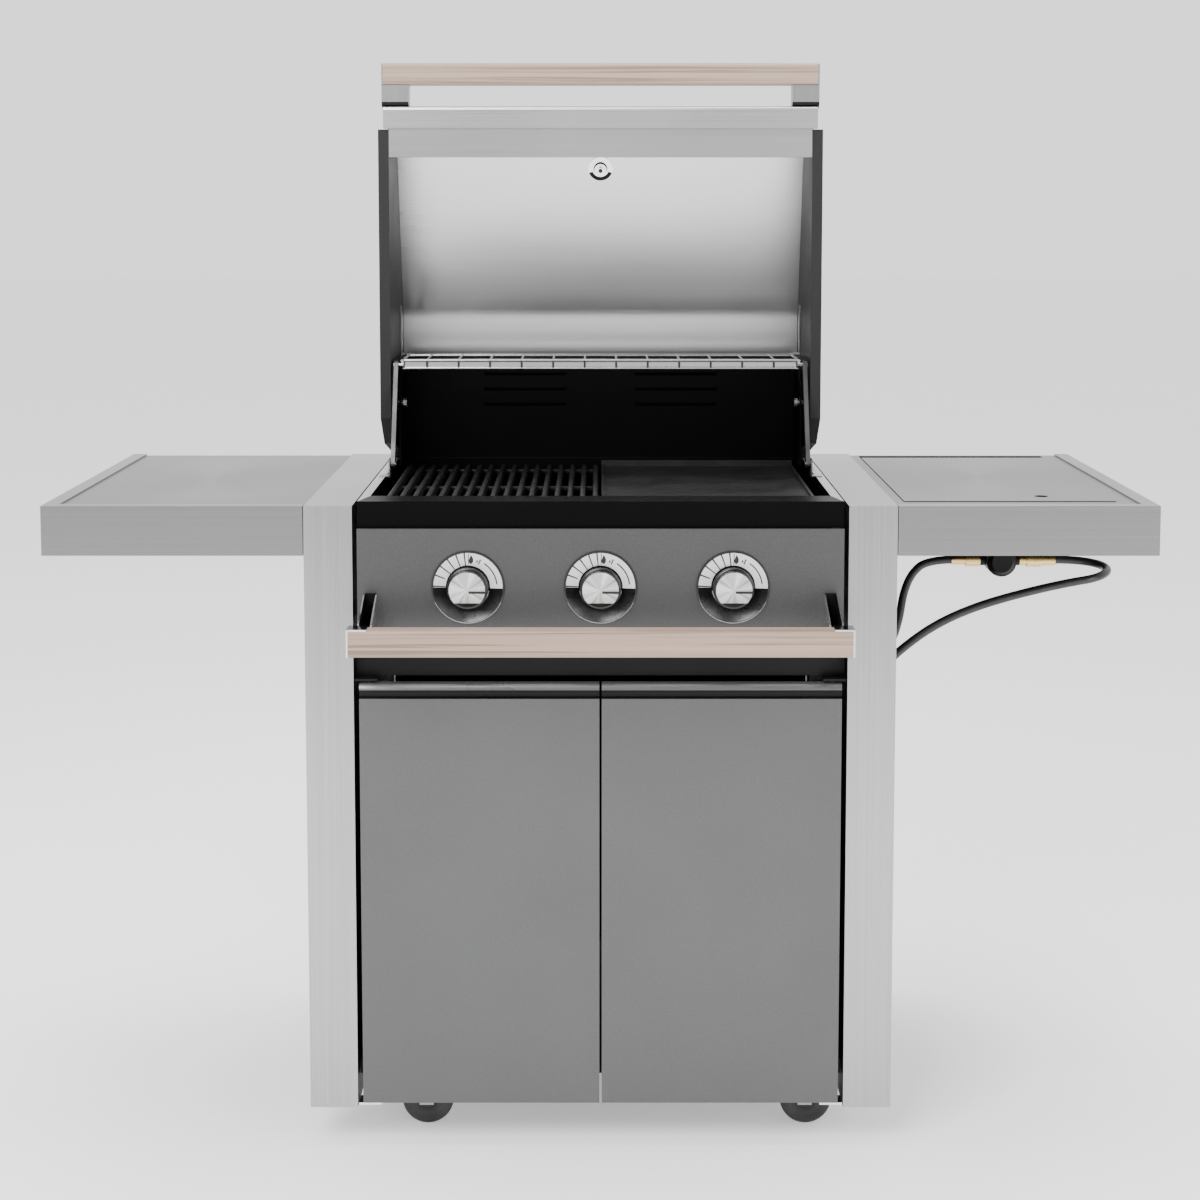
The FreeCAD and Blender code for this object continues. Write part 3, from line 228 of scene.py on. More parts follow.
def spun_and_painted_fan(name, colour, roughness):
    """Metal faced on a lathe: fine rings, and a painted highlight, the fan of light and dark that
    they throw put into the base colour.
    """
    finish = Finish(name, colour, roughness, 1.0)
    flat = finish.tree.nodes.new("ShaderNodeVectorMath")
    flat.operation = "MULTIPLY"
    flat.inputs[1].default_value = (1, 0, 1)
    outward = finish.tree.nodes.new("ShaderNodeVectorMath")
    outward.operation = "NORMALIZE"
    painted_fan = finish.tree.nodes.new("ShaderNodeTexNoise")
    painted_fan.inputs["Scale"].default_value = 2.6
    painted_fan.inputs["Detail"].default_value = 5.0
    finish.tree.links.new(finish.place, flat.inputs[0])
    finish.tree.links.new(flat.outputs[0], outward.inputs[0])
    finish.tree.links.new(outward.outputs[0], painted_fan.inputs["Vector"])
    # Painted highlight: a fan of light and dark by angle round the knob's axis, in the base
    # colour.
    finish.shades(painted_fan.outputs["Fac"], 0.42, 0.36, 0.62)
    finish.rough(painted_fan.outputs["Fac"], 0.06)
    finish.bump(finish.noise(900, (1, 1, 1), 2.0), 0.05, 0.0002)
    return finish.material


def bezel_metal(name):
    """Dark plate on the knob dishes, with painted shading: deepest beside the knob and greyer
    towards its foot.
    """
    finish = Finish(name, (0.13, 0.13, 0.132), 0.3, 0.9)
    split = finish.tree.nodes.new("ShaderNodeSeparateXYZ")
    finish.tree.links.new(finish.place, split.inputs[0])
    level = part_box("knob_middle")
    middle = (level[0].z + level[1].z) / 2
    # Painted shading: the base colour runs from grey at the dish's foot to near black from just
    # below the knob's middle upward.
    painted_shading = finish.ranged(split.outputs["Z"], 0, 1, middle - 0.030, middle - 0.008)
    cloud = finish.blend(finish.ranged(finish.noise(60, (0.3, 1, 1)), 0, 1), (0.11,) * 3,
                         (0.15,) * 3)
    finish.feed("Base Color", finish.blend(painted_shading, cloud, (0.052, 0.052, 0.053)))
    finish.rough(finish.noise(90), 0.06)
    return finish.material


DUST = 0.3


def rubbery(name, colour, roughness):
    """Rubber: soft sheen, fine texture and dusty variation."""
    finish = Finish(name, colour, roughness, 0.0)
    finish.shades(finish.noise(40), DUST)
    finish.rough(finish.noise(18), 0.08)
    finish.bump(finish.noise(700), 0.15, 0.0004)
    return finish.material


ALONG_X = (0.02, 6, 6)
ALONG_Y = (6, 0.02, 6)
ALONG_Z = (6, 6, 0.02)


def make_materials():
    """Every finish, by name."""
    return {
        "steel_z": brushed("steel_upright", (0.37, 0.37, 0.367), 0.30, ALONG_Z, 0.10),
        "steel_x": brushed("steel_across", (0.25, 0.25, 0.249), 0.30, ALONG_X, 0.08),
        "plate": brushed("steel_plate", (0.19, 0.19, 0.19), 0.34, ALONG_X),
        "hood": brushed("steel_hood", (0.66, 0.66, 0.66), 0.3, ALONG_X, 0.03, 0.008),
        "lip": brushed("steel_lip", (0.50, 0.50, 0.50), 0.34, ALONG_X, 0.04),
        "door": coated("door_paint", (0.092, 0.092, 0.094), 0.40, 0.22, 0.6),
        # Lit and shaded copies of the door paint for the finger-pull roll: a painted highlight
        # and a painted shade.
        "roll_painted_highlight": coated("door_roll_painted_highlight", (0.17, 0.17, 0.175), 0.3, 0.1, 0.6),
        "roll_painted_shade": coated("door_roll_painted_shade", (0.010, 0.010, 0.0105), 0.5, shine=0.08),
        "graphite": coated("graphite_paint", (0.060, 0.060, 0.062), 0.42, 0.4, 0.5),
        "black": coated("black_paint", (0.005, 0.005, 0.0055), 0.45, shine=0.18),
        "enamel": coated("black_enamel", (0.0012, 0.0012, 0.0014), 0.4, shine=0.06),
        "grey": coated("hood_grey", (0.020, 0.020, 0.021), 0.5, 0.1, 0.0, shine=0.15),
        "post": brushed("post_grey", (0.36, 0.36, 0.365), 0.36, ALONG_Z),
        "iron": iron("cast_iron", (0.008, 0.008, 0.0085), 0.5),
        "wood": timber("pale_wood", (0.40, 0.295, 0.232), (0.25, 0.168, 0.122), (0.06, 1, 1)),
        "chrome": plated("chrome", (0.78, 0.78, 0.79), 0.1),
        "zinc": plated("zinc", (0.30, 0.30, 0.305), 0.3),
        "wire": plated("rack_wire", (0.46, 0.46, 0.465), 0.16),
        "brass": plated("brass", (0.72, 0.5, 0.2), 0.25),
        "rim_steel": brushed("rim_steel", (0.50, 0.50, 0.50), 0.36, ALONG_Y),
        "spun_and_painted_fan": spun_and_painted_fan("spun_metal_painted_fan", (0.62, 0.62, 0.615), 0.26),
        "scale": brushed("scale_silver", (0.80, 0.80, 0.80), 0.4, ALONG_X),
        "bezel": bezel_metal("bezel_metal"),
        "skirt": plated("skirt_metal", (0.05, 0.05, 0.052), 0.3),
        "arm": plated("arm_steel", (0.075, 0.075, 0.077), 0.4),
        "ink": coated("black_ink", (0.008, 0.008, 0.008), 0.5),
        "rubber": rubbery("rubber", (0.02, 0.02, 0.02), 0.6),
        "hose": rubbery("hose_rubber", (0.012, 0.012, 0.013), 0.42),
        "tyre": rubbery("tyre", (0.018, 0.018, 0.019), 0.5),
    }


NODE_FINISH = {
    "steel_z": ["side_frames"],
    "steel_x": ["shelf_left", "shelf_right", "burner_tubes"],
    "plate": ["side_burner_lid"],
    "hood": ["hood_skin"],
    "lip": ["hood_stiffener"],
    "door": ["left_door", "right_door"],
    "graphite": ["control_panel"],
    "black": ["side_panels", "base_panel", "back_panel", "door_header", "handle_spacers",
              "tray_rails", "drip_tray", "regulator"],
    "enamel": ["firebox", "rear_wall", "side_burner_well", "flame_tamers"],
    "grey": ["hood_end_caps"],
    "post": ["handle_posts"],
    "iron": ["grill_grate", "hotplate", "side_burner_trivet"],
    "wood": ["front_bar", "hood_handle"],
    "chrome": ["knob_bezels", "front_bar_brackets", "thermometer",
               "side_burner_knob", "door_hinges", "knob_left", "knob_middle", "knob_right"],
    "wire": ["warming_rack"],
    "arm": ["rack_arms"],
    "zinc": ["rack_brackets", "hinge_bolts", "gas_rail"],
    "brass": ["gas_valves", "hose_fittings", "side_burner_head"],
    "rubber": ["hose_grommets"],
}


def paint_nodes(finishes):
    """Give every CAD node that stays in view its material."""
    chosen = {node: name for name, nodes in NODE_FINISH.items() for node in nodes}
    for node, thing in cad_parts.items():
        name = chosen.get(node, "tyre" if "wheel" in node else "zinc")
        thing.data.materials.clear()
        thing.data.materials.append(finishes[name])


def dress(node, finish, rule):
    """A second material on the faces of a CAD node that a rule picks by centre and normal."""
    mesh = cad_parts[node].data
    mesh.materials.append(finish)
    index = len(mesh.materials) - 1
    for face in mesh.polygons:
        if rule(face.center, face.normal):
            face.material_index = index


HEADER_TO_POST = 0.003
PLATE_TO_RIM = 0.012
REAR_RIM = 0.045
TOP_SKIN = 0.0005
LOWER_LEAF = 0.1
ROLL_DROP = 0.0225
ROLL_FOOT = 0.0006
ROLL_TURN = 0.12
STRIP_LEVELS = (0.005, 0.011)
STRIP_BACK = 0.0159
BAR_GAP = 0.001
WEB_AHEAD = 0.0025
BRACKET_INSET = 0.02
BRACKET_HALF = 0.0071
SUNK_LEVELS = (0.006, 0.0004)


def dress_nodes(finishes):
    """The parts of a node that are finished differently from the rest of it, with painted
    highlight and shade on the door rolls and a painted reflection on the firebox's front flange.
    """
    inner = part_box("door_header")[1].x + HEADER_TO_POST
    dress("side_frames", finishes["black"], lambda spot, normal: abs(spot.x) < inner)
    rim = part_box("firebox")[1]
    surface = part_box("hotplate")[1].x + PLATE_TO_RIM
    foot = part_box("rear_wall")[1].y - REAR_RIM
    # Painted reflection: only the top faces at the sides and along the rear take the bright rim
    # steel, so the front flange between them keeps the near-black enamel, standing in for the
    # dark hood and back wall it reflects.
    dress("firebox", finishes["rim_steel"], lambda spot, normal: spot.z > rim.z - TOP_SKIN
          and (abs(spot.x) > surface or spot.y > foot))
    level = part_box("left_door")[0].z + LOWER_LEAF
    dress("door_hinges", finishes["black"], lambda spot, normal: spot.z > level)
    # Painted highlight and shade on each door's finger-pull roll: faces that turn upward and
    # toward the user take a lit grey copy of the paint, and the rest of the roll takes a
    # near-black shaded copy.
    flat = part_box("left_door")[1].z - ROLL_DROP + ROLL_FOOT
    for door in ("left_door", "right_door"):
        dress(door, finishes["roll_painted_shade"], lambda spot, normal: spot.z > flat
              and (normal.z < ROLL_TURN or normal.y > 0))
        dress(door, finishes["roll_painted_highlight"], lambda spot, normal: spot.z > flat
              and normal.z >= ROLL_TURN and normal.y <= 0)
    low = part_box("warming_rack")[0]
    dress("warming_rack", finishes["skirt"], lambda spot, normal: abs(normal.z) < 0.1
          and low.z + STRIP_LEVELS[0] < spot.z < low.z + STRIP_LEVELS[1]
          and spot.y < low.y + STRIP_BACK)
    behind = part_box("front_bar")[1].y + BAR_GAP
    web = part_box("control_panel")[0].y - WEB_AHEAD
    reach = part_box("front_bar_brackets")[1].x - BRACKET_INSET
    dress("front_bar_brackets", finishes["black"], lambda spot, normal: spot.y > behind
          and (normal.y < -0.5 and spot.y > web
               or abs(abs(spot.x) - reach) < BRACKET_HALF))
    for shelf in ("shelf_left", "shelf_right"):
        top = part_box(shelf)[1].z
        dress(shelf, finishes["plate"], lambda spot, normal, top=top: normal.z > 0.9
              and top - SUNK_LEVELS[0] < spot.z < top - SUNK_LEVELS[1])
    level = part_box("gas_rail")[1].z
    dress("burner_tubes", finishes["zinc"], lambda spot, normal: spot.z > level)


# ---- small mesh tools ------------------------------------------------------------------------

def new_piece(name, mesh, body, finish, smooth=True, origin=(0, 0, 0)):
    """Link a finished bmesh as a piece that rides on a body, its own origin at a chosen spot."""
    data = bpy.data.meshes.new(name)
    bmesh.ops.recalc_face_normals(mesh, faces=mesh.faces)
    bmesh.ops.translate(mesh, verts=mesh.verts, vec=-Vector(origin))
    mesh.to_mesh(data)
    mesh.free()
    for face in data.polygons:
        face.use_smooth = smooth
    thing = bpy.data.objects.new(name, data)
    thing.location = origin
    scene.collection.objects.link(thing)
    for material in finish if isinstance(finish, list) else [finish]:
        data.materials.append(material)
    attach(thing, body)
    return thing


WELD = 0.000001


def lathe(mesh, centre, outline, steps=72):
    """Turn an outline of (radius, distance towards the user) about a front-to-back axis."""
    rings = []
    for radius, ahead in outline:
        if radius < WELD:
            rings.append([mesh.verts.new((centre.x, centre.y - ahead, centre.z))])
            continue
        ring = []
        for step in range(steps):
            angle = 2 * math.pi * step / steps
            ring.append(mesh.verts.new((centre.x + radius * math.cos(angle), centre.y - ahead,
                                        centre.z + radius * math.sin(angle))))
        rings.append(ring)
    for inner, outer in zip(rings, rings[1:]):
        for step in range(steps):
            after = (step + 1) % steps
            corners = [inner[step % len(inner)], inner[after % len(inner)],
                       outer[after % len(outer)], outer[step % len(outer)]]
            mesh.faces.new(list(dict.fromkeys(corners)))
    bmesh.ops.remove_doubles(mesh, verts=[vert for ring in rings for vert in ring],
                             dist=WELD)


def arc_band(mesh, centre, radii, degrees, ahead, thick, steps=40):
    """A flat curved band facing the user, between two radii and two angles."""
    layers = []
    for step in range(steps + 1):
        turn = math.radians(degrees[0] + (degrees[1] - degrees[0]) * step / steps)
        for radius in radii:
            for out in (ahead, ahead + thick):
                layers.append(mesh.verts.new((centre.x + radius * math.cos(turn),
                                              centre.y - out,
                                              centre.z + radius * math.sin(turn))))
    for step in range(steps):
        here, there = layers[4 * step:4 * step + 4], layers[4 * step + 4:4 * step + 8]
        for first, second in ((0, 1), (1, 3), (3, 2), (2, 0)):
            mesh.faces.new((here[first], here[second], there[second], there[first]))
    mesh.faces.new(layers[0:2] + [layers[3], layers[2]])
    mesh.faces.new(layers[-4:-2] + [layers[-1], layers[-2]])
    bmesh.ops.remove_doubles(mesh, verts=layers, dist=WELD)


BEVEL_STEPS = 2


def bar(mesh, low, high, bevel):
    """A box between two corners, with its edges softened."""
    low, high = Vector(low), Vector(high)
    made = bmesh.ops.create_cube(mesh, size=1)
    middle, size = (low + high) / 2, high - low
    for vert in made["verts"]:
        vert.co = middle + Vector(a * b for a, b in zip(vert.co, size))
    edges = {edge for vert in made["verts"] for edge in vert.link_edges}
    bmesh.ops.bevel(mesh, geom=list(edges), offset=bevel, segments=BEVEL_STEPS, profile=0.5,
                    affect="EDGES")


# ---- knobs and their scales ------------------------------------------------------------------

KNOBS = ("left", "middle", "right")
SCALE_RADII = (0.0288, 0.0450)
FACET_DROP = 0.0165
FACET_SLOPE = (0, 0.30, -1)
FACE_SUNK = 0.0004
SKIRT_OUTLINE = [(0.0045, 0.0), (0.0262, 0.0), (0.0270, 0.0010), (0.0270, 0.0040),
                 (0.0262, 0.0052), (0.0240, 0.0056), (0.0, 0.0056)]
POINTER_LOW = (0.002, -0.0003, -0.0042)
POINTER_HIGH = (0.0238, 0.0004, -0.0009)


def knob_centre(name, face_y):
    """The middle of a knob, on a plane that faces the user."""
    low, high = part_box(f"knob_{name}")
    return Vector(((low.x + high.x) / 2, face_y, (low.z + high.z) / 2))


def add_knob(name, finishes):
    """A turned knob: a dark skirt and a spun grip whose lower side is cut to a flat facet."""
    low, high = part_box(f"knob_{name}")
    centre = knob_centre(name, high.y)
    depth = high.y - low.y
    face = depth - FACE_SUNK
    mesh = bmesh.new()
    lathe(mesh, centre, SKIRT_OUTLINE)
    skirt = new_piece(f"knob_{name}_skirt", mesh, f"knob_{name}", finishes["skirt"])
    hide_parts(f"knob_{name}")
    mesh = bmesh.new()
    lathe(mesh, centre, [(0.0, 0.0054), (0.0243, 0.0054), (0.0243, face - 0.0010),
                         (0.0240, face - 0.0003), (0.0234, face), (0.0, face)], 96)
    slope = Vector(FACET_SLOPE).normalized()
    spot = centre + Vector((0, -face, -FACET_DROP))
    geometry = mesh.verts[:] + mesh.edges[:] + mesh.faces[:]
    sliced = bmesh.ops.bisect_plane(mesh, geom=geometry, plane_co=spot, plane_no=slope,
                                    clear_outer=True)
    rim = [item for item in sliced["geom_cut"] if isinstance(item, bmesh.types.BMEdge)]
    bmesh.ops.holes_fill(mesh, edges=rim)
    grip = new_piece(f"knob_{name}_grip", mesh, f"knob_{name}",
                     [finishes["spun_and_painted_fan"], finishes["skirt"]], False, centre)
    for polygon in grip.data.polygons:
        forward, facing = abs(polygon.normal.y) > 0.9, abs(polygon.normal.dot(slope)) > 0.99
        polygon.use_smooth = not forward and not facing
        polygon.material_index = 0 if forward else 1
    mesh = bmesh.new()
    front = centre + Vector((0, -face, 0))
    bar(mesh, front + Vector(POINTER_LOW), front + Vector(POINTER_HIGH), 0.0002)
    new_piece(f"knob_{name}_pointer", mesh, f"knob_{name}", finishes["ink"])


SCALE_SUNK = 0.0012
LINE_SUNK = 0.0006
MARK_THICK = 0.0003
TICKS = (96, 110, 126, 142, 159, 178)
SHORT_TICK = 159
TICK_HALF = 1.3
FLAME_STEPS = 8
FLAME_TALL = 0.012


def add_bezels(finishes):
    """Dark dishes behind the knobs, each with a silver half scale and generic marks."""
    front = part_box("knob_bezels")[0].y
    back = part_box("knob_bezels")[1].y
    for name in KNOBS:
        centre = knob_centre(name, back)
        rise = back - front
        mesh = bmesh.new()
        lathe(mesh, centre, [(0.0065, 0.0), (0.0475, 0.0), (0.0475, rise - SCALE_SUNK),
                             (0.0470, rise - 0.0003), (0.0462, rise), (0.0453, rise - 0.0003),
                             (0.0449, rise - 0.0010), (0.0283, rise - SCALE_SUNK),
                             (0.0279, rise - 0.0022), (0.0065, rise - 0.0022),
                             (0.0065, 0.0)], 96)
        dish = new_piece(f"bezel_{name}", mesh, "trolley", finishes["bezel"])
        if name == KNOBS[0]:
            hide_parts("knob_bezels")
        level = rise - SCALE_SUNK
        mesh = bmesh.new()
        arc_band(mesh, centre, SCALE_RADII, (-2, 180), level, 0.0004, 64)
        new_piece(f"scale_{name}", mesh, "trolley", finishes["scale"],
                  smooth=False)
        mesh = bmesh.new()
        arc_band(mesh, centre, (0.0270, 0.0277), (190, 350), level - MARK_THICK, 0.0006, 48)
        arc_band(mesh, centre, (0.0468, 0.0472), (205, 335), rise - LINE_SUNK, 0.0004, 48)
        new_piece(f"bezel_lines_{name}", mesh, "trolley", finishes["scale"],
                  smooth=False)
        mesh = bmesh.new()
        arc_band(mesh, centre, (0.0452, 0.0472), (-8, 188), rise - LINE_SUNK, 0.0005, 64)
        add_marks(mesh, centre, level + MARK_THICK)
        new_piece(f"scale_marks_{name}", mesh, "trolley", finishes["ink"],
                  smooth=False)


def add_marks(mesh, centre, level):
    """Heat ticks on the left, an ignition flame at the top, a sweep line on the right."""
    low, high = SCALE_RADII
    for turn in TICKS:
        shorter = 0.003 if turn == SHORT_TICK else 0
        arc_band(mesh, centre, (low + shorter, high), (turn - TICK_HALF, turn + TICK_HALF), level,
                 MARK_THICK, 2)
    arc_band(mesh, centre, (0.0369, 0.0386), (6, 56), level, MARK_THICK, 30)
    arc_band(mesh, centre, (0.0345, 0.0375), (69, 72), level, MARK_THICK, 3)
    arc_band(mesh, centre, (0.0330, 0.0400), (64.2, 66.8), level, MARK_THICK, 3)
    middle = centre + Vector((0.0040, -level - MARK_THICK, 0.0365))
    flame = []
    for side in (-1, 1):
        steps = range(FLAME_STEPS + 1) if side > 0 else range(FLAME_STEPS, -1, -1)
        for step in steps:
            share = step / FLAME_STEPS
            width = 0.0029 * math.sin(math.pi * share ** 0.7) + 0.0001
            sway = 0.0014 * math.sin(math.pi * share) * (share - 0.3)
            flame.append(mesh.verts.new(middle + Vector((side * width + sway, 0,
                                                         FLAME_TALL * (share - 0.5)))))
    mesh.faces.new(flame)
    arc_band(mesh, centre, (0.0300, 0.0440), (87.9, 89.3), level, MARK_THICK, 2)


# ---- hood gauge ------------------------------------------------------------------------------

GAUGE_TILT = math.radians(17.17)
GAUGE_RADIUS = 0.026
WASHER_DEEP = 0.0137
STEM_DEEP = 0.0245
GAUGE_RIM = [(0.0222, 0.0), (0.0258, 0.0), (0.0255, 0.0008), (0.0242, 0.0012),
             (0.0228, 0.0008), (0.0222, 0.0)]
GAUGE_FACE = [(0.0, 0.0), (0.0224, 0.0), (0.0224, 0.0003), (0.0, 0.0003)]
GAUGE_TICKS = 11
GAUGE_START = 225
GAUGE_STEP = 27
GAUGE_TICK_HALF = 1.4
NEARLY_ROUND = (0, 359)


def add_gauge(finishes):
    """The dial outside the hood: a pale face, plain heat ticks and a needle under a bright rim.

    Inside the hood: a dark crescent below its washer, a dark ring round its nut, and the end of
    its stem.
    """
    low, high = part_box("thermometer")
    middle = Vector(((low.x + high.x) / 2, high.y - GAUGE_RADIUS * math.sin(GAUGE_TILT),
                     high.z - GAUGE_RADIUS * math.cos(GAUGE_TILT)))
    turn = (Matrix.Translation(middle) @ Matrix.Rotation(GAUGE_TILT, 4, "X")
            @ Matrix.Rotation(math.pi, 4, "Z"))
    centre = Vector((0, 0, 0))
    rim, face, marks = bmesh.new(), bmesh.new(), bmesh.new()
    lathe(rim, centre, GAUGE_RIM)
    lathe(face, centre, GAUGE_FACE)
    for step in range(GAUGE_TICKS):
        angle = GAUGE_START - GAUGE_STEP * step
        inner = 0.0165 if step % 5 else 0.0150
        arc_band(marks, centre, (inner, 0.0205),
                 (angle - GAUGE_TICK_HALF, angle + GAUGE_TICK_HALF), 0.0002, 0.0003, 2)
    arc_band(marks, centre, (0.0, 0.0022), NEARLY_ROUND, 0.0002, 0.0006, 24)
    arc_band(marks, centre, (0.0, 0.0140), (222, 228), 0.0003, 0.0004, 2)
    inside = Matrix.Translation(middle) @ Matrix.Rotation(GAUGE_TILT, 4, "X")
    washer_dark_marks, tip = bmesh.new(), bmesh.new()
    washer = Vector((0, -WASHER_DEEP, 0))
    arc_band(washer_dark_marks, washer, (0.0125, 0.0180), (200, 340), 0.0001, 0.0004, 40)
    arc_band(washer_dark_marks, washer, (0.0090, 0.0102), NEARLY_ROUND, 0.0001, 0.0004, 64)
    arc_band(tip, Vector((0, -STEM_DEEP, 0)), (0.0, 0.0031), NEARLY_ROUND, 0.0001, 0.0003, 32)
    for name, mesh, finish, place in (("rim", rim, "chrome", turn),
                                      ("face", face, "scale", turn),
                                      ("marks", marks, "ink", turn),
                                      ("washer_dark_marks", washer_dark_marks, "black", inside),
                                      ("tip", tip, "ink", inside)):
        bmesh.ops.transform(mesh, matrix=place, verts=mesh.verts)
        new_piece(f"gauge_{name}", mesh, "hood", finishes[finish], name == "rim")


# ---- grate -----------------------------------------------------------------------------------

GRATE_BARS = 17
BAR_HALF = 0.0045
BAR_FOOT = 0.003
BAR_SLOPE = 0.006
BAR_ENDS_DROP = 0.004
SHOULDER_DROP = 0.0016
RAIL_DROP = 0.0075
RAIL_WIDE = 0.010
RAIL_MIDDLE = (0.038, 0.046)
RAIL_BEVEL = 0.0012
SMOOTH_BELOW = math.radians(35)


def add_grate(finishes):
    """Cast bars with rounded backs, joined by cross rails."""
    low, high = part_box("grill_grate")
    pitch = (high.x - low.x - 2 * BAR_HALF - 0.0015) / (GRATE_BARS - 1)
    mesh = bmesh.new()
    for step in range(GRATE_BARS):
        middle = low.x + BAR_HALF + 0.0004 + step * pitch
        outline = [(-BAR_HALF, low.z + BAR_FOOT), (-0.0038, high.z - BAR_SLOPE),
                   (-0.0031, high.z - SHOULDER_DROP), (-0.0014, high.z), (0.0014, high.z),
                   (0.0031, high.z - SHOULDER_DROP), (0.0038, high.z - BAR_SLOPE),
                   (BAR_HALF, low.z + BAR_FOOT)]
        ends = []
        for back, drop in ((low.y, BAR_ENDS_DROP), (low.y + BAR_SLOPE, 0.0),
                           (high.y - BAR_SLOPE, 0.0), (high.y, BAR_ENDS_DROP)):
            ends.append([mesh.verts.new((middle + across, back,
                                         min(up, high.z - drop)
                                         if up > low.z + BAR_ENDS_DROP else up))
                         for across, up in outline])
        for here, there in zip(ends, ends[1:]):
            for first in range(len(outline)):
                second = (first + 1) % len(outline)
                mesh.faces.new((here[first], here[second], there[second], there[first]))
        mesh.faces.new(ends[0])
        mesh.faces.new(ends[-1])
    rail_top = high.z - RAIL_DROP
    for front, back in ((low.y, low.y + RAIL_WIDE), RAIL_MIDDLE, (high.y - RAIL_WIDE, high.y)):
        bar(mesh, (low.x, front, low.z), (high.x - 0.0005, back, rail_top), RAIL_BEVEL)
    grate = new_piece("grill_grate_cast", mesh, "grate", finishes["iron"])
    grate.data.set_sharp_from_angle(angle=SMOOTH_BELOW)
    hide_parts("grill_grate")


# ---- casters ---------------------------------------------------------------------------------

WHEEL_SIDE = [(0.0041, 0.0), (0.0115, 0.0), (0.0118, 0.0015), (0.0240, 0.0022),
              (0.0262, 0.0010), (0.0300, 0.0010), (0.0325, 0.0022), (0.0345, 0.0046),
              (0.0350, 0.0075)]
HUB_RING = [(0.0062, 0.0), (0.0086, 0.0), (0.0090, 0.0010), (0.0084, 0.0020),
            (0.0066, 0.0020), (0.0062, 0.0)]
HUB_THICK = 0.0020


def add_wheels(finishes):
    """Black wheels with a moulded groove, and a plated ring round the hub on both sides."""
    for end in ("front", "rear"):
        for side in ("left", "right"):
            node = f"caster_wheel_{end}_{side}"
            low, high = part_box(node)
            centre = Vector(((low.x + high.x) / 2, high.y, (low.z + high.z) / 2))
            wide = high.y - low.y
            far = [(radius, wide - ahead) for radius, ahead in reversed(WHEEL_SIDE)]
            mesh = bmesh.new()
            lathe(mesh, centre, WHEEL_SIDE + far + WHEEL_SIDE[:1], 80)
            tyre = new_piece(f"tyre_{end}_{side}", mesh, f"wheel_{end}_{side}",
                             finishes["tyre"])
            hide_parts(node)
            for label, face in (("outer", wide - HUB_THICK), ("inner", 0.0)):
                mesh = bmesh.new()
                lathe(mesh, centre, [(radius, face + ahead) for radius, ahead in HUB_RING], 48)
                new_piece(f"hub_ring_{label}_{end}_{side}", mesh, f"wheel_{end}_{side}",
                          finishes["chrome"])


# ---- hoses -----------------------------------------------------------------------------------

HOSE_SUPPLY = [(0.642, 0.026, 0.747), (0.680, 0.026, 0.747), (0.712, -0.016, 0.743),
               (0.688, -0.060, 0.737), (0.640, -0.064, 0.730), (0.576, -0.068, 0.716),
               (0.515, -0.072, 0.699), (0.462, -0.078, 0.677), (0.418, -0.084, 0.648),
               (0.385, -0.088, 0.618), (0.3535, -0.088, 0.614)]
HOSE_OUTLET = [(0.496, 0.026, 0.747), (0.462, 0.026, 0.746), (0.440, 0.024, 0.728),
               (0.428, 0.020, 0.700), (0.422, 0.012, 0.665), (0.410, 0.004, 0.632),
               (0.384, 0.000, 0.603), (0.3535, 0.000, 0.600)]
HOSE_THICK = 0.0115


def add_hose(name, node, route, finish):
    """A gas hose on one smooth curve."""
    data = bpy.data.curves.new(name, "CURVE")
    data.dimensions = "3D"
    data.bevel_depth = HOSE_THICK / 2
    data.bevel_resolution = 6
    data.resolution_u = 16
    data.use_fill_caps = True
    spline = data.splines.new("NURBS")
    spline.points.add(len(route) - 1)
    for point, spot in zip(spline.points, route):
        point.co = (*spot, 1)
    spline.order_u = 3
    spline.use_endpoint_u = True
    thing = bpy.data.objects.new(name, data)
    scene.collection.objects.link(thing)
    data.materials.append(finish)
    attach(thing, "trolley")
    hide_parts(node)


# ---- light and floor -------------------------------------------------------------------------

def add_light(name, place, aim, size, power):
    """A large soft lamp pointed at a spot."""
    data = bpy.data.lights.new(name, "AREA")
    data.shape = "RECTANGLE"
    data.size, data.size_y = size
    data.energy = power
    lamp = bpy.data.objects.new(name, data)
    lamp.location = place
    lamp.rotation_euler = (Vector(aim) - Vector(place)).to_track_quat("-Z", "Y").to_euler()
    scene.collection.objects.link(lamp)


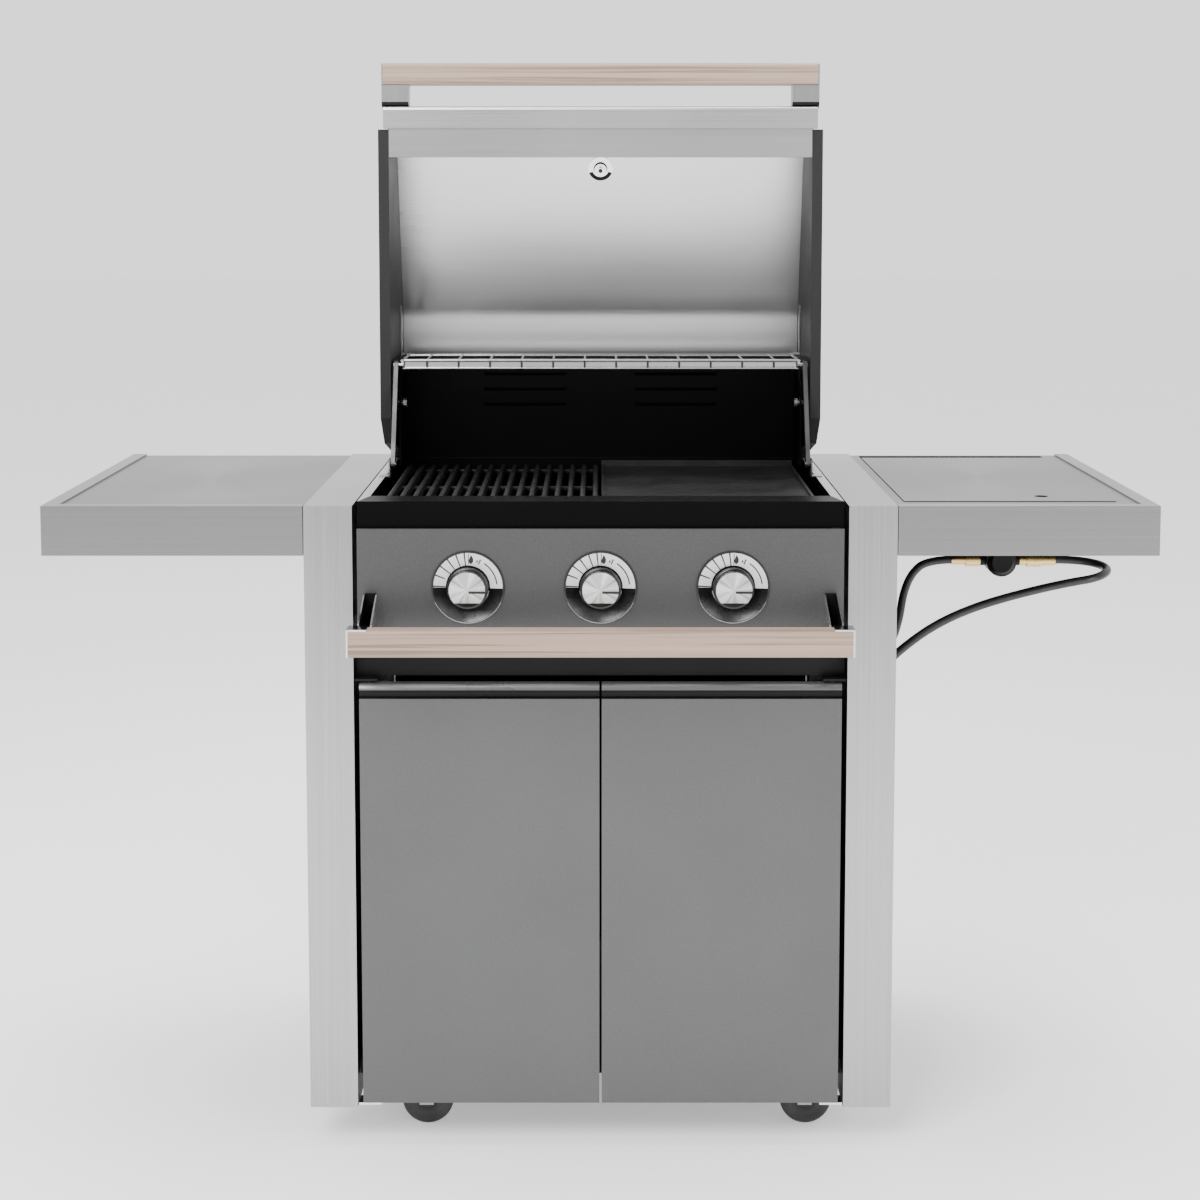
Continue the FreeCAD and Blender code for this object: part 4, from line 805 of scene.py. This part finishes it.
ROOM_LIGHT = 0.6
BACKDROP_LIGHT = 1.6
FLOOR_GLOW = 0.45
FLOOR_REACH = 30.0
LAMPS = (("key", (-1.5, -2.9, 3.3), (0, 0, 0.9), (2.2, 2.2), 190),
         ("fill", (2.6, -2.4, 1.6), (0, 0, 0.7), (1.2, 2.6), 60),
         ("top", (0, 0.3, 3.6), (0, 0, 0.9), (3.0, 2.0), 110))


def add_studio():
    """A pale floor, a white surround and soft lamps."""
    data = bpy.data.meshes.new("floor")
    corners = [(across * FLOOR_REACH, along * FLOOR_REACH, 0)
               for across, along in ((-1, -1), (1, -1), (1, 1), (-1, 1))]
    data.from_pydata(corners, [], [(0, 1, 2, 3)])
    floor = bpy.data.objects.new("floor", data)
    scene.collection.objects.link(floor)
    finish = Finish("floor", (0.93, 0.93, 0.93), 0.8)
    finish.shades(finish.noise(2.0), 0.01)
    finish.set("Emission Color", (1, 1, 1, 1))
    finish.set("Emission Strength", FLOOR_GLOW)
    data.materials.append(finish.material)
    world = bpy.data.worlds.new("studio")
    world.use_nodes = True
    tree = world.node_tree
    surround = tree.nodes["Background"]
    place = tree.nodes.new("ShaderNodeTexCoord")
    split = tree.nodes.new("ShaderNodeSeparateXYZ")
    painted_shading = tree.nodes.new("ShaderNodeMapRange")
    painted_shading.interpolation_type = "SMOOTHSTEP"
    for name, number in (("From Min", -0.5), ("From Max", 0.35), ("To Min", ROOM_LIGHT),
                         ("To Max", BACKDROP_LIGHT)):
        painted_shading.inputs[name].default_value = number
    tree.links.new(place.outputs["Generated"], split.inputs[0])
    tree.links.new(split.outputs["Y"], painted_shading.inputs["Value"])
    tree.links.new(painted_shading.outputs["Result"], surround.inputs["Strength"])
    surround.inputs["Color"].default_value = (1, 1, 1, 1)
    scene.world = world
    for name, place, aim, size, power in LAMPS:
        add_light(name, place, aim, size, power)


add_camera()
finishes = make_materials()
add_hose("gas_hose_supply", "hose_supply", HOSE_SUPPLY, finishes["hose"])
add_hose("gas_hose_outlet", "hose_outlet", HOSE_OUTLET, finishes["hose"])
paint_nodes(finishes)
dress_nodes(finishes)
for knob in KNOBS:
    add_knob(knob, finishes)
add_bezels(finishes)
add_gauge(finishes)
add_grate(finishes)
add_wheels(finishes)
add_studio()
